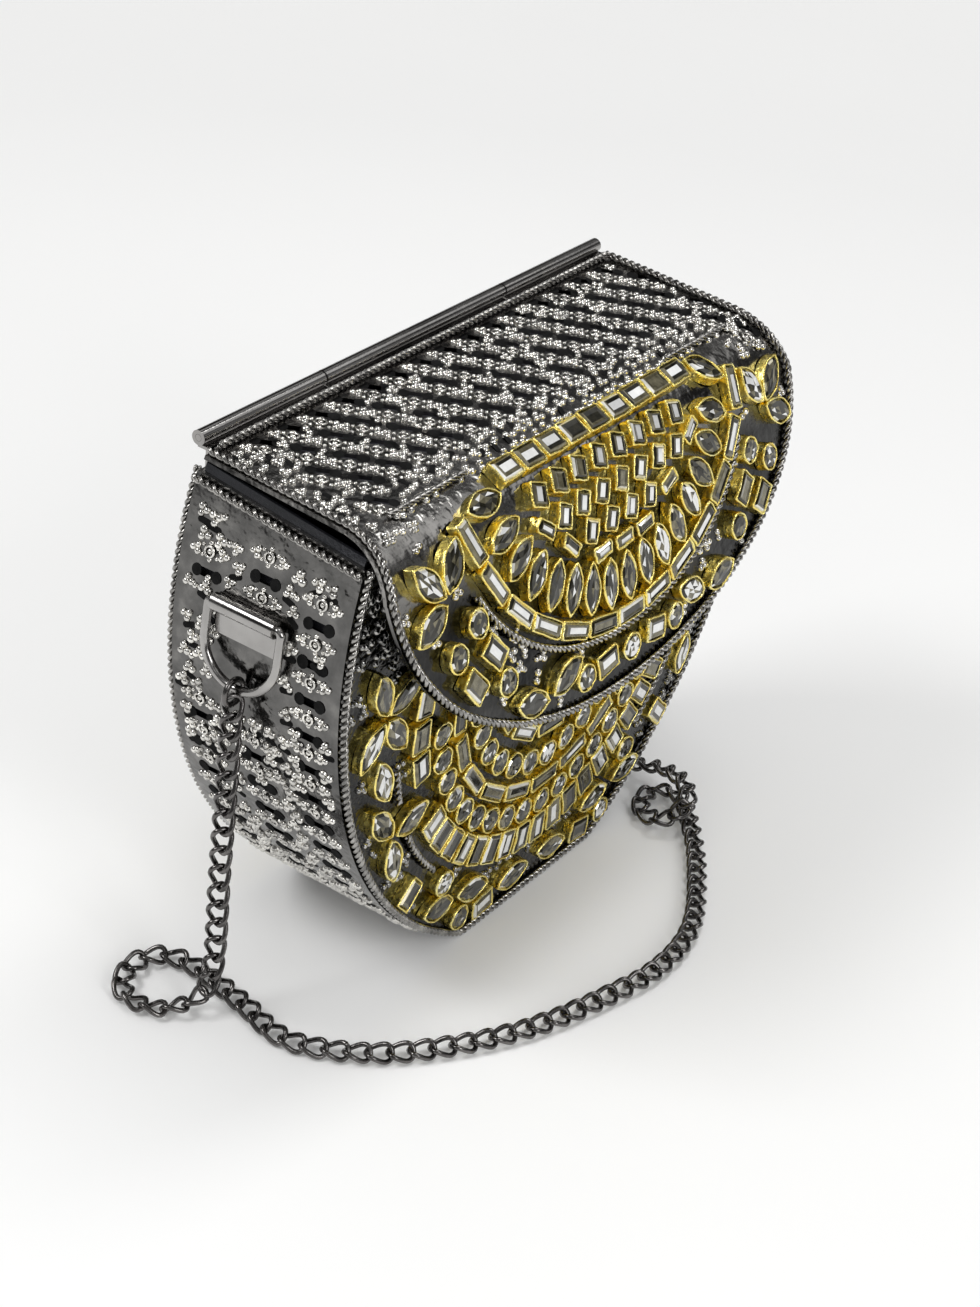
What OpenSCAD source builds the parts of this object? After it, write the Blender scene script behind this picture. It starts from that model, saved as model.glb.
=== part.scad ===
// Metal clutch bag with a hinged flap lid, stone-set front, two swinging side rings and a chain strap.
// All sizes in millimetres. X runs along the hinge, the front faces -Y and Z points up.

/* [Case] */
// depth of the case between the front and back edges of its band
case_depth = 53; // [40:1:80]
// radius of the long curve that each side follows, seen from the front
side_curve_radius = 121.7; // [100:0.1:180]
// how far past the middle the centre of that curve lies
side_curve_past = 23.4; // [0:0.1:60]
// height of the centre of that curve above the table
side_curve_height = 108.3; // [80:0.1:140]
// distance of the case rim below the lid's top face at the hinge
rim_drop = 3.5; // [2:0.1:6]
// slope of the rim towards the front, in degrees
rim_slope = 5.7; // [0:0.1:10]
// thickness of the band and the panels
sheet = 1; // [0.6:0.1:2]
// gap between metal pieces that lie against each other
lay_gap = 0.05; // [0.02:0.01:0.3]
// radius of the twisted rope wire along the edges
rope_radius = 1.1; // [0.6:0.1:2]
// how far the dark collar stands above the rim
collar_rise = 2; // [1:0.1:3]
// depth of the collar below the rim
collar_drop = 14; // [6:1:30]
// thickness of the collar
collar_wall = 0.8; // [0.5:0.1:1.5]
// thickness of the cloth lining
lining_wall = 0.8; // [0.5:0.1:2]
// gap between the metal and the lining
lining_gap = 0.4; // [0.2:0.1:1]
// distance of the lining's edge below the rim
lining_edge_drop = 3; // [1:0.5:8]

/* [Lid] */
// height of the lid's top face at its back edge
lid_height = 152; // [140:0.5:170]
// slope of the lid's top towards the front, in degrees
lid_slope = 3; // [0:0.5:8]
// distance in front of the middle at which the shoulder starts
shoulder_start = 17; // [0:0.5:24]
// outer radius of the lid's shoulder
shoulder_radius = 20; // [8:0.5:30]
// angle below level at which the shoulder turns into the flap, in degrees
shoulder_end_angle = 69; // [60:1:85]
// outer radius of the gently curved flap
flap_radius = 246; // [150:1:500]
// half width of the flap at its widest
flap_half_width = 94; // [80:0.5:96]
// distance of the flap's widest part below the lid's top face at the hinge
flap_wide_drop = 15; // [8:0.5:30]
// drop of the flap's round edge below its widest part
flap_drop = 57; // [30:0.5:80]
// distance that the lid's side edges keep inside the case's side line
lid_side_inset = 0.6; // [0.2:0.1:3]
// distance of the lid's back edge from the case's hinge leaf
lid_back_gap = 0.3; // [0.1:0.1:1]
// thickness of the rope trim that edges the lid, also its width
trim = 2; // [1:0.1:3]
// thickness of the cloth under the lid
lid_cloth = 0.6; // [0.3:0.1:1.5]
// distance of the lid's cloth from the lid's side edges
lid_cloth_inset = 9; // [4:1:20]

/* [Hinge] */
// radius of the hinge barrels
barrel_radius = 2; // [1.5:0.1:3]
// radius of the hinge pin
pin_radius = 0.9; // [0.6:0.05:1.2]
// radial running clearance around pins
running_clearance = 0.06; // [0.02:0.01:0.1]
// distance of the hinge axis behind the case's back edge
hinge_behind = 3.4; // [2.5:0.1:6]
// height of the hinge axis above the lid's back edge
hinge_above = 2.7; // [2.2:0.1:5]
// half length of the hinge
hinge_half_length = 88; // [60:1:90]
// half length of the lid's middle barrel
lid_barrel_half = 39.7; // [20:0.1:60]
// gap between neighbouring barrels
barrel_gap = 0.6; // [0.3:0.1:1]
// thickness of the hinge leaves
leaf = 0.8; // [0.5:0.1:1.5]
// length of the lid's hinge leaf on the lid
lid_leaf_length = 3.5; // [3:0.5:8]
// length of the case's hinge leaf down the back
case_leaf_length = 12; // [6:1:20]

/* [Rings] */
// height of the ring barrels above the table
ring_height = 121.2; // [100:0.5:135]
// distance of the rings behind the middle of the sides
ring_back = 2.6; // [0:0.5:10]
// length of the rolled barrel that holds each ring
ring_barrel_length = 19.6; // [12:0.5:26]
// outer radius of that barrel
ring_barrel_radius = 2.3; // [1.8:0.1:3]
// height of the tab plate under the barrel
ring_plate_height = 9; // [5:0.5:14]
// thickness of the tab plate
ring_plate = 0.8; // [0.5:0.1:1.5]
// radius of the ring's wire
ring_wire = 1.2; // [0.8:0.1:2]
// half width of the ring, measured on the wire's centre
ring_half_width = 11.4; // [8:0.1:14]
// length of the ring's straight arms
ring_arm = 9; // [3:0.5:14]
// angle at which the rings rest away from the sides, in degrees
ring_rest_angle = 5.5; // [3:0.5:30]
// mean radius of the small round ring that joins ring and chain
link_ring_radius = 3.4; // [3:0.1:6]
// radius of its wire
link_ring_wire = 0.8; // [0.5:0.1:1.2]

/* [Chain] */
// mean radius of a chain link
link_radius = 3.1; // [2:0.1:4]
// radius of the link's wire
link_wire = 0.7; // [0.5:0.05:1]
// play between one link and the next
link_play = 0.5; // [0.1:0.05:1]

/* [Stones] */
// height of the brass bezels above the lid
bezel_height = 3; // [2:0.1:6]
// height of the brass bezels above the front and back
low_bezel_height = 2.6; // [1.6:0.1:6]
// thickness of the bezel walls
bezel_wall = 0.8; // [0.4:0.1:1.5]
// thickness of the bezel floor
bezel_floor = 0.8; // [0.4:0.1:1.5]
// gap between a stone and its bezel
stone_gap = 0.1; // [0.05:0.05:0.3]
// how far the stones stand above their bezels
stone_rise = 0.4; // [0:0.1:1]
// long side of the rectangular stones in their bezels
brick_length = 9.4; // [6:0.1:14]
// short side of the rectangular stones in their bezels
brick_width = 7; // [4:0.1:10]
// length of the slim bar stones in their bezels
bar_length = 12.6; // [8:0.1:16]
// width of the slim bar stones in their bezels
bar_width = 5.2; // [3:0.1:8]
// length of the pointed leaf stones in their bezels
leaf_length = 14.4; // [10:0.1:20]
// width of the pointed leaf stones in their bezels
leaf_width = 7.2; // [5:0.1:10]
// diameter of the small round stones in their bezels
round_size = 8; // [5:0.1:10]

/* [Medallion on the flap] */
// sideways shift of the row of stones on the shoulder
row_shift = 3; // [-5:0.5:5]
// distance along the lid from its back edge to the row of stones on the shoulder
row_reach = 52.3; // [45:0.1:60]
// spacing of that row
row_pitch = 9.9; // [8:0.1:14]
// half width of the half round of leaf stones
leaf_arc_half_width = 51.5; // [40:0.5:60]
// depth of the half round of leaf stones below the row
leaf_arc_depth = 41.4; // [30:0.1:55]
// half width of the half round of bar stones
bar_arc_half_width = 63; // [50:0.5:70]
// depth of the half round of bar stones below the row
bar_arc_depth = 51.5; // [40:0.5:65]
// how far the smooth ground under the medallion reaches past the bar stones
ground_margin = 3.4; // [2:0.1:6]
// thickness of the smooth ground
ground = 0.4; // [0.2:0.1:1]

/* [Fan on the front and back] */
// height of the fan's centre
fan_height = 86; // [70:0.5:100]
// radius of the fan's outer row of bricks
fan_brick_radius = 64.4; // [50:0.5:75]
// radius of the row of round stones
fan_round_radius = 55.3; // [40:0.5:65]
// radius of the row of bar stones
fan_bar_radius = 47.3; // [35:0.1:55]
// radius of the second row of round stones
fan_inner_round_radius = 39; // [25:0.5:45]
// radius of the innermost row of round stones
fan_core_radius = 29; // [15:0.5:35]
// radius of the rope arc around the fan
fan_rope_radius = 73; // [60:0.5:80]

/* [Florets] */
// radius of a floret's middle bead
floret_middle = 2.1; // [1:0.1:4]
// radius of a floret's side beads
floret_side = 1.5; // [0.8:0.1:3]
// distance from the middle bead to each side bead
floret_reach = 3.7; // [3:0.1:8]
// height of the beads above the sheet
floret_rise = 0.9; // [0.4:0.1:2]
// spacing of the floret rows up the sides
side_row_pitch = 10.6; // [8:0.1:16]
// spacing of the floret columns across the sides
side_column_pitch = 17.5; // [12:0.1:22]
// spacing of the floret rows on the lid, front to back
top_row_pitch = 9; // [5:0.1:12]
// spacing of the florets along a row on the lid
top_pitch = 11; // [10:0.1:20]
// length of the pierced slots
slot_length = 6.8; // [3:0.1:10]
// width of the pierced slots
slot_width = 2.4; // [1:0.1:3]
// distance from a floret to its slot
slot_offset = 3.4; // [2:0.1:6]

/* [Closure] */
// radius of the closing magnets
magnet_radius = 7; // [4:0.5:10]
// thickness of the closing magnets
magnet_thickness = 1.6; // [1:0.1:3]
// distance of the case magnet's middle below the lid's top face at the hinge
magnet_drop = 40; // [30:1:60]
// thickness of the mount that carries the case magnet
magnet_mount = 8; // [2:0.1:14]

/* [Stone layout] */
// length of the small pointed stones in their bezels
petal_length = 14.6; // [8:0.1:18]
// width of the small pointed stones in their bezels
petal_width = 7.8; // [4:0.1:10]
// distance from the middle of a flower to the middle of its petals
petal_reach = 8.3; // [6:0.1:12]
// gap between neighbouring rectangular stones
brick_space = 0.4; // [0.2:0.1:2]
// gap between neighbouring bar stones
bar_space = 0.7; // [0.2:0.1:2]
// gap between neighbouring leaf stones
leaf_space = 1.4; // [0.5:0.1:3]
// gap between neighbouring round stones
round_space = 0.9; // [0.3:0.1:2]
// length of the short bar stones in their bezels
short_length = 7.8; // [6:0.1:12]
// width of the short bar stones in their bezels
short_width = 4.2; // [3:0.1:7]
// long side of the small tile stones in their bezels
tile_length = 6.9; // [5:0.1:10]
// short side of the small tile stones in their bezels
tile_width = 6.1; // [4:0.1:10]
// tile stones inside the half round: across, along and turned
flap_tiles = [[-31.6, 61.2, 66], [-22.4, 60.7, 68], [-13.2, 60.5, 68], [-4, 60.4, 68], [5.2, 60.4, 68],
    [14.4, 60.4, 68], [23.6, 60.4, 72], [32.8, 60.6, 74], [-24.2, 68.9, 66], [-15.7, 68.3, 68],
    [-6.6, 68.2, 68], [2.5, 68.2, 68], [11.6, 68.2, 68], [20.6, 68.2, 72], [29.4, 68.4, 74],
    [-14, 76.5, 68], [-4.6, 76.5, 68], [4.8, 76.5, 68], [13.9, 76.5, 70]];
// slim bar stones inside the half round: across, along and turned
flap_slims = [[-32.6, 69.2, -38], [-23.4, 77, -46], [23.8, 76.2, 24], [-10.2, 83.4, 7], [0, 83.6, 4],
    [10.1, 83.2, 8], [37.3, 66.5, 40]];
// pointed stones at the ends of the shoulder row: across, along and turned
row_end_leaves = [[-51.3, 56.6, 2], [54.2, 55.2, -42]];
// rectangular stones below the medallion: across, along and turned
flap_loose_bricks = [[-60.4, 91.2, -50], [-69.6, 96.6, -50], [-11.8, 113.9, 10]];
// round stones on the flap: across and along
flap_rounds = [[-65.4, 81.6, 0], [-75, 87, 0], [-56.4, 100.9, 0], [-21.9, 114.2, 0]];
// round stone in the middle of the flap's lower edge
flap_middle_round = 114.2; // [110:0.1:118]
// flowers on the flap: across, along and the directions of their petals
flap_flowers = [[-75.2, 71.8, [133, 58, 207]], [-38.2, 113.2, [166, 23]]];
// rectangular stones around the fan: across, up from the fan's centre and turned
front_loose_bricks = [[-61.6, -54.5, 42], [-24.2, -78.4, 10]];
// round stones around the fan: across and up from the fan's centre
front_rounds = [[-45.2, -59.8, 0], [-35.4, -77, 0]];
// flowers around the fan: across, up from the fan's centre and the directions of their petals
front_flowers = [[-80.6, 10.5, [108, 30, 306, 230]], [-72.6, -30, [130, 14, 278]], [-38.5, -68.8, [172, 352]]];
// single pointed stones: across, up from the fan's centre and turned
front_loose_petals = [[-79.5, -9.2, 110], [-9.6, -76.6, 8]];
// radius of the fan's short row of round stones near its centre
fan_middle_radius = 20; // [12:0.5:30]
// number of rectangular stones in the outer row
fan_brick_count = 22; // [8:1:24]
// first and last stone of that row that are left out for the stones set upright
fan_left_out = [3, 18];
// number of rectangular stones set upright in the outer row
fan_upright_count = 17; // [7:2:21]
// number of round stones in the outer round row
fan_round_count = 19; // [8:1:22]
// number of bar stones in their row
fan_bar_count = 11; // [5:1:13]
// number of round stones in the second round row
fan_inner_count = 13; // [5:1:16]
// number of bar stones in the inner row
fan_core_count = 7; // [3:1:9]
// number of round stones in the short row
fan_middle_count = 6; // [3:1:9]
// distance of the single round stone below the fan's centre
fan_heart_drop = 10; // [4:0.5:16]
// parts of the fan's circle that carry the rope arc, in degrees
fan_rope_arcs = [[188, 197], [208, 227]];
// florets on the front: across, up from the fan's centre and turned
front_floret_places = [[-66, 26, 0], [-52, 32, 0], [-38, 24, 0], [-24, 32, 0], [-78, 38, 0]];

/* [Further small fits] */
// drop of the mouth ropes below the rim
mouth_rope_drop = 1.6; // [1:0.1:4]
// radius of the bends at the corners of the side rings
ring_corner = 1.4; // [1.3:0.1:6]
// angle at which the small round ring leans outwards from the side ring
link_lean = 42; // [0:1:80]
// room below each ring barrel that is kept free of florets
ring_drop_room = 30; // [20:1:40]
// angle of the lowest row of florets on the sides
side_first_angle = -54; // [-58:1:-30]
// half width of the lid's floret field
lid_half_plain = 84; // [60:1:88]
// number of floret rows on the lid
top_rows = 6; // [3:1:10]
// distance of the first floret row from the lid's back edge
top_first = 8.5; // [6:0.5:20]
// turn of the florets on the lid, in degrees
top_turn = 34; // [-90:1:90]
// distance of the lid's back rope from its back edge
back_rope_reach = 1.7; // [1.4:0.1:10]
// distance below the lid's top face above which the medallion's rope is left out
medallion_rope_drop = 23.5; // [12:0.5:40]
// distance of the lid magnet from the lid's back edge
lid_magnet_reach = 101; // [90:0.5:115]
// depth of the lid magnet's cup
lid_magnet_depth = 4; // [2:0.5:6]
// height at which the chain's centre line lies on the table
chain_lie = 3.9; // [3:0.1:6]
// height of one layer of chain above another
chain_layer = 8; // [6:0.5:10]
// sideways drift of the hanging chain
chain_drift = 1.5; // [0:0.5:10]
// places that the chain passes on the table: across, back and layer
chain_floor = [[-109.6, 6.6, 0.15], [-116, 13, 0], [-115.5, 23, 0], [-107, 28, 0], [-98, 26, 0], [-95, 16, 0],
    [-98, -4, 0], [-101.5, -22, 0], [-91, -41, 0], [-74.5, -55, 0], [-54, -66.5, 0], [-31, -74, 0],
    [-8, -78.5, 0], [14, -75.5, 0], [38, -62.5, 0], [55, -50, 0], [67, -38, 0], [62, -30.5, 0],
    [52, -34, 0], [50, -43, 0.3], [57, -46.5, 0.9], [64, -40, 1.1], [68, -30, 0.8], [68, -16, 0.2], [66, 8, 0],
    [70, 24, 0], [79, 18, 0], [80, 0, 0], [88, -8, 0], [94, 2, 0], [93, 18, 0], [101, 24, 0],
    [108, 16, 0]];

/* [Colours] */
// dark metal
metal_colour = [0.32, 0.32, 0.34];
// brass of the bezels
brass_colour = [0.83, 0.69, 0.32];
// clear grey glass
glass_colour = [0.75, 0.76, 0.74];
// dark cloth
cloth_colour = [0.08, 0.08, 0.1];

/* [Hidden] */
half_depth = case_depth / 2;
rim_height = lid_height - rim_drop;
flap_wide_height = lid_height - flap_wide_drop;
arc_cuts = 60;
shoulder_cuts = 30;
flap_cuts = 12;
chain_cuts = 8;
link_roll = 45;
steep_share = 0.2;
far = 400;
// the whole part is moved along Y so that its bounding box is centred on the origin
hinge_y = half_depth + hinge_behind;
hinge_z = lid_height + hinge_above;
reach_back = hinge_y + barrel_radius;
bottom_half = sqrt(side_curve_radius * side_curve_radius - side_curve_height * side_curve_height)
    - side_curve_past;
function side_x(z) = sqrt(pow(side_curve_radius, 2) - pow(z - side_curve_height, 2)) - side_curve_past;
function rim_at(y) = rim_height - (half_depth - y) * tan(rim_slope);

// the lid seen from the side: a straight top, a shoulder and a gently curved flap
top_length = (half_depth + shoulder_start) / cos(lid_slope);
shoulder_y = half_depth - top_length * cos(lid_slope);
shoulder_z = lid_height - top_length * sin(lid_slope);
shoulder_length = shoulder_radius * (shoulder_end_angle - lid_slope) * PI / 180;
flap_y = shoulder_y - shoulder_radius * (sin(shoulder_end_angle) - sin(lid_slope));
flap_z = shoulder_z - shoulder_radius * (cos(lid_slope) - cos(shoulder_end_angle));
shoulder_centre = [shoulder_y + shoulder_radius * sin(lid_slope), shoulder_z - shoulder_radius * cos(lid_slope)];
flap_centre = [flap_y + flap_radius * sin(shoulder_end_angle), flap_z - flap_radius * cos(shoulder_end_angle)];
function lid_angle(s) = s <= top_length ? lid_slope
    : s <= top_length + shoulder_length ? lid_slope + (s - top_length) / shoulder_radius * 180 / PI
    : shoulder_end_angle + (s - top_length - shoulder_length) / flap_radius * 180 / PI;
function lid_y(s) = s <= top_length ? half_depth - s * cos(lid_slope)
    : s <= top_length + shoulder_length ? shoulder_centre[0] - shoulder_radius * sin(lid_angle(s))
    : flap_centre[0] - flap_radius * sin(lid_angle(s));
function lid_z(s) = s <= top_length ? lid_height - s * sin(lid_slope)
    : s <= top_length + shoulder_length ? shoulder_centre[1] + shoulder_radius * cos(lid_angle(s))
    : flap_centre[1] + flap_radius * cos(lid_angle(s));
flap_end_length = top_length + shoulder_length + (flap_z - flap_wide_height + flap_drop) * 1.05;
lid_stops = concat([lid_back_gap],
    [for (i = [0:shoulder_cuts]) top_length + shoulder_length * i / shoulder_cuts],
    [for (i = [1:flap_cuts]) top_length + shoulder_length
        + (flap_end_length - top_length - shoulder_length) * i / flap_cuts]);
flap_reach = -lid_y(flap_middle_round)
    + (round_size / 2 - bezel_wall - stone_gap) * cos(lid_angle(flap_middle_round))
    + (lay_gap + bezel_height + stone_rise) * sin(lid_angle(flap_middle_round));
y_shift = (flap_reach - reach_back) / 2;

// solids shared by several nodes
module outline(inset, y0, y1) {
    intersection() {
        along_y(side_curve_past, side_curve_height, side_curve_radius - inset, y0, y1);
        along_y(-side_curve_past, side_curve_height, side_curve_radius - inset, y0, y1);
        translate([-far / 2, y0, inset]) cube([far, y1 - y0, far]);
    }
}

module along_y(x, z, r, y0, y1) {
    translate([x, y1, z]) rotate([90, 0, 0]) cylinder(r = r, h = y1 - y0, $fn = 180);
}

module along_x(y, z, r, x0, x1) {
    translate([x0, y, z]) rotate([0, 90, 0]) cylinder(r = r, h = x1 - x0, $fn = 64);
}

module below_rim(rise) {
    translate([0, half_depth, rim_height + rise]) rotate([rim_slope, 0, 0])
        translate([-far / 2, -far / 2, -far]) cube([far, far, far]);
}

module above_rim(rise) {
    translate([0, half_depth, rim_height + rise]) rotate([rim_slope, 0, 0])
        translate([-far / 2, -far / 2, 0]) cube([far, far, far]);
}

// one formed layer of the lid between two distances outside its outer face
module lid_layer(low, high, half) {
    last = len(lid_stops) - 1;
    translate([-half, 0, 0]) rotate([90, 0, 90]) linear_extrude(height = 2 * half)
        polygon(concat([for (s = lid_stops) lid_point(s, high)],
                       [for (i = [last:-1:0]) lid_point(lid_stops[i], low)]));
}

function lid_point(s, out) = [lid_y(s) - out * sin(lid_angle(s)), lid_z(s) + out * cos(lid_angle(s))];

// the lid's outline seen from the front
module lid_outline(inset) {
    intersection() {
        outline(lid_side_inset + inset, -far / 4, far / 4);
        union() {
            translate([-far / 2, -far / 4, flap_wide_height]) cube([far, far / 2, far]);
            translate([0, far / 4, flap_wide_height]) rotate([90, 0, 0])
                scale([(flap_half_width - inset) / (flap_drop - inset), 1, 1])
                    cylinder(r = flap_drop - inset, h = far / 2, $fn = 180);
        }
    }
}

// places its children on the lid's outer face: across, along from the back edge, turned in the face
module on_lid(x, s, turn = 0) {
    translate([x, lid_y(s), lid_z(s)]) rotate([lid_angle(s), 0, 0]) rotate([0, 0, turn])
        translate([0, 0, lay_gap]) children();
}

module on_front(x, z, turn = 0) {
    translate([x, -half_depth, z]) rotate([90, 0, 0]) rotate([0, 0, turn])
        translate([0, 0, lay_gap]) children();
}

module on_back(x, z, turn = 0) {
    translate([-x, half_depth, z]) rotate([90, 0, 180]) rotate([0, 0, turn])
        translate([0, 0, lay_gap]) children();
}

// places its children on a side: up the curve in degrees, and back from the middle
module on_side(side, angle, y) {
    translate([-side * side_curve_past, y, side_curve_height]) rotate([0, 0, side < 0 ? 180 : 0])
        rotate([0, -angle, 0]) translate([side_curve_radius + lay_gap, 0, 0]) rotate([0, 90, 0])
            children();
}

// outline of one kind of stone, cut down by an inset, between two heights
module form(kind, inset, low, high) {
    if (kind == "brick" || kind == "bar" || kind == "short" || kind == "tile")
        translate([0, 0, (low + high) / 2])
            cube([long_of(kind) - 2 * inset, wide_of(kind) - 2 * inset, high - low], center = true);
    else if (kind == "round")
        translate([0, 0, low]) cylinder(r = round_size / 2 - inset, h = high - low, $fn = 40);
    else
        intersection() {
            translate([0, -bow_of(kind) + wide_of(kind) / 2, low])
                cylinder(r = bow_of(kind) - inset, h = high - low, $fn = 96);
            translate([0, bow_of(kind) - wide_of(kind) / 2, low])
                cylinder(r = bow_of(kind) - inset, h = high - low, $fn = 96);
        }
}

function long_of(kind) = kind == "brick" ? brick_length : kind == "bar" ? bar_length
    : kind == "short" ? short_length : kind == "tile" ? tile_length
    : kind == "leaf" ? leaf_length : petal_length;
function wide_of(kind) = kind == "brick" ? brick_width : kind == "bar" ? bar_width
    : kind == "short" ? short_width : kind == "tile" ? tile_width
    : kind == "leaf" ? leaf_width : petal_width;
function bow_of(kind) = (pow(long_of(kind), 2) + pow(wide_of(kind), 2)) / (4 * wide_of(kind));

module piece(kind, metal, tall) {
    if (metal)
        difference() {
            form(kind, 0, 0, tall);
            form(kind, bezel_wall, bezel_floor, tall + bezel_wall);
        }
    else
        form(kind, bezel_wall + stone_gap, bezel_floor + stone_gap, tall + stone_rise);
}

// doubles a list of places to the other side of the middle
function both_sides(places) = concat(places, [for (p = places) [-p[0], p[1], 180 - p[2]]]);

// the same for places that are measured up from the fan's centre
function raised(places) = both_sides([for (p = places) [p[0], fan_height + p[1], p[2]]]);

// equal steps along half an ellipse, counted from its lowest point
function arc_angle(wide, deep, along) = lookup(along, arc_table(wide, deep));
function arc_table(wide, deep) = [for (i = [-arc_cuts:arc_cuts])
    [arc_way(wide, deep, i), 90 * i / arc_cuts]];
function arc_way(wide, deep, i) = i == 0 ? 0 : sign(i) * arc_sum(wide, deep, abs(i));
function arc_sum(wide, deep, n) = n == 0 ? 0 : arc_sum(wide, deep, n - 1)
    + norm([wide * cos(90 * (n - 0.5) / arc_cuts), deep * sin(90 * (n - 0.5) / arc_cuts)]) * PI / 2 / arc_cuts;

// places on the flap: across, along from the back edge, and turned
flap_brick_places = concat(
    [for (i = [-4:4]) [i * row_pitch + row_shift, row_reach, 0]], both_sides(flap_loose_bricks));
flap_bar_places = [for (k = [-6:6])
    let (t = arc_angle(bar_arc_half_width, bar_arc_depth, k * (bar_length + bar_space)))
        [bar_arc_half_width * sin(t), row_reach + bar_arc_depth * cos(t),
         atan2(bar_arc_depth * sin(t), bar_arc_half_width * cos(t))]];
flap_leaf_places = concat(row_end_leaves, [for (k = [-7:7])
    let (t = arc_angle(leaf_arc_half_width, leaf_arc_depth, k * (leaf_width + leaf_space)))
        [leaf_arc_half_width * sin(t), row_reach + leaf_arc_depth * cos(t),
         atan2(-leaf_arc_half_width * cos(t), leaf_arc_depth * sin(t))]]);
flap_petal_places = both_sides([for (f = flap_flowers) for (a = f[2])
    [f[0] + petal_reach * cos(a), f[1] - petal_reach * sin(a), a]]);
flap_round_places = concat(both_sides(flap_rounds), [[0, flap_middle_round, 0]]);

// places on the front: across, height and turned
function fan(radius, step, count, skip = []) = [for (k = [0:count - 1]) if (len(search(k, skip)) == 0)
    let (a = 270 + (k - (count - 1) / 2) * step)
        [radius * cos(a), fan_height + radius * sin(a), a + 90]];
function fan_step(radius, size) = size / radius * 180 / PI;
front_brick_places = concat(
    fan(fan_brick_radius, fan_step(fan_brick_radius - brick_width / 2, brick_length + brick_space),
        fan_brick_count, [for (k = [fan_left_out[0]:fan_left_out[1]]) k]),
    [for (p = fan(fan_brick_radius, fan_step(fan_brick_radius - brick_length / 2, brick_width + brick_space),
        fan_upright_count)) [p[0], p[1], p[2] + 90]],
    raised(front_loose_bricks));
front_bar_places = concat(
    fan(fan_bar_radius, fan_step(fan_bar_radius - bar_width / 2, bar_length + bar_space), fan_bar_count),
    fan(fan_core_radius, fan_step(fan_core_radius - bar_width / 2, bar_length + bar_space), fan_core_count));
front_round_places = concat(
    fan(fan_round_radius, fan_step(fan_round_radius, round_size + round_space), fan_round_count),
    fan(fan_inner_round_radius, fan_step(fan_inner_round_radius, round_size + round_space), fan_inner_count),
    fan(fan_middle_radius, fan_step(fan_middle_radius, round_size + round_space), fan_middle_count),
    [[0, fan_height - fan_heart_drop, 0]],
    raised(front_rounds));
front_petal_places = raised(concat(
    [for (f = front_flowers) for (a = f[2])
        [f[0] + petal_reach * cos(a), f[1] + petal_reach * sin(a), a]],
    front_loose_petals));

module flap_pieces(kind, places, metal) {
    color(metal ? brass_colour : glass_colour)
        for (p = places) on_lid(p[0], p[1], p[2]) piece(kind, metal, bezel_height);
}

module front_pieces(kind, places, metal) {
    color(metal ? brass_colour : glass_colour)
        for (p = places) on_front(p[0], p[1], p[2]) piece(kind, metal, low_bezel_height);
}

module back_pieces(metal) {
    color(metal ? brass_colour : glass_colour) {
        for (p = back_brick_places) on_back(p[0], p[1], p[2]) piece("brick", metal, low_bezel_height);
        for (p = front_petal_places) on_back(p[0], p[1], p[2]) piece("petal", metal, low_bezel_height);
        for (p = raised(front_rounds)) on_back(p[0], p[1], p[2]) piece("round", metal, low_bezel_height);
    }
}
back_brick_places = front_brick_places;

// raised beads: one in the middle and one at each end
module floret() {
    cylinder(r = floret_middle, h = floret_rise, $fn = 32);
    for (end = [-1, 1])
        translate([0, end * floret_reach, 0]) cylinder(r = floret_side, h = floret_rise, $fn = 24);
}

side_row_angle = side_row_pitch / side_curve_radius * 180 / PI;
side_rows = ceil((asin((rim_height - side_curve_height) / side_curve_radius) - side_first_angle)
    / side_row_angle);
// places on the sides: row height as an angle, and back from the middle
side_places = [for (row = [0:side_rows - 1]) for (column = [-1:1])
    let (a = side_first_angle + (row + (column == 0 ? 0.5 : 0)) * side_row_angle,
         y = column * side_column_pitch,
         z = side_curve_height + side_curve_radius * sin(a))
        if (z < rim_at(y) - rope_radius * 2 - side_row_pitch / 2
            && (abs(y - ring_back) > ring_barrel_length / 2 + floret_reach + floret_side
                || z > ring_height + floret_middle + ring_barrel_radius
                || z < ring_height - ring_drop_room))
            [a, y]];

module side_florets(side) {
    color(metal_colour)
        for (p = side_places) on_side(side, p[0], p[1]) floret();
}

module side_slots(side) {
    for (p = side_places) on_side(side, p[0], p[1])
        translate([slot_offset + slot_width, 0, 0])
            cube([slot_width, slot_length, 4 * sheet], center = true);
}

top_columns = floor(lid_half_plain / top_pitch);
// places on the lid's top: across and along from the back edge
top_places = [for (row = [0:top_rows - 1]) for (i = [-top_columns:top_columns])
    let (x = (i + (row % 2) / 2) * top_pitch, s = top_first + row * top_row_pitch)
        if (abs(x) < lid_half_plain && (s < row_reach - brick_width / 2 - floret_reach - floret_side
            || abs(x) > bar_arc_half_width + bar_width + floret_reach))
            [x, s]];

module lid_slots() {
    for (p = top_places) on_lid(p[0], p[1], top_turn)
        translate([slot_offset + slot_width / 2, 0, 0])
            cube([slot_width, slot_length, 4 * sheet], center = true);
}

module rope_along_edge(y) {
    color(metal_colour) {
        for (side = [-1, 1])
            translate([-side * side_curve_past, y, side_curve_height])
                rotate([90, 0, side < 0 ? 180 : 0])
                    rotate_extrude(angle = rope_top(y) - rope_foot, start = rope_foot, $fn = 180)
                        translate([side_curve_radius - rope_radius, 0]) circle(r = rope_radius, $fn = 24);
        along_x(y, rope_radius, rope_radius, -foot_half, foot_half);
    }
}
rope_foot = -asin((side_curve_height - rope_radius) / (side_curve_radius - rope_radius));
foot_half = (side_curve_radius - rope_radius) * cos(rope_foot) - side_curve_past;
function rope_top(y) = asin((rim_at(y) - side_curve_height) / (side_curve_radius - rope_radius));

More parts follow.
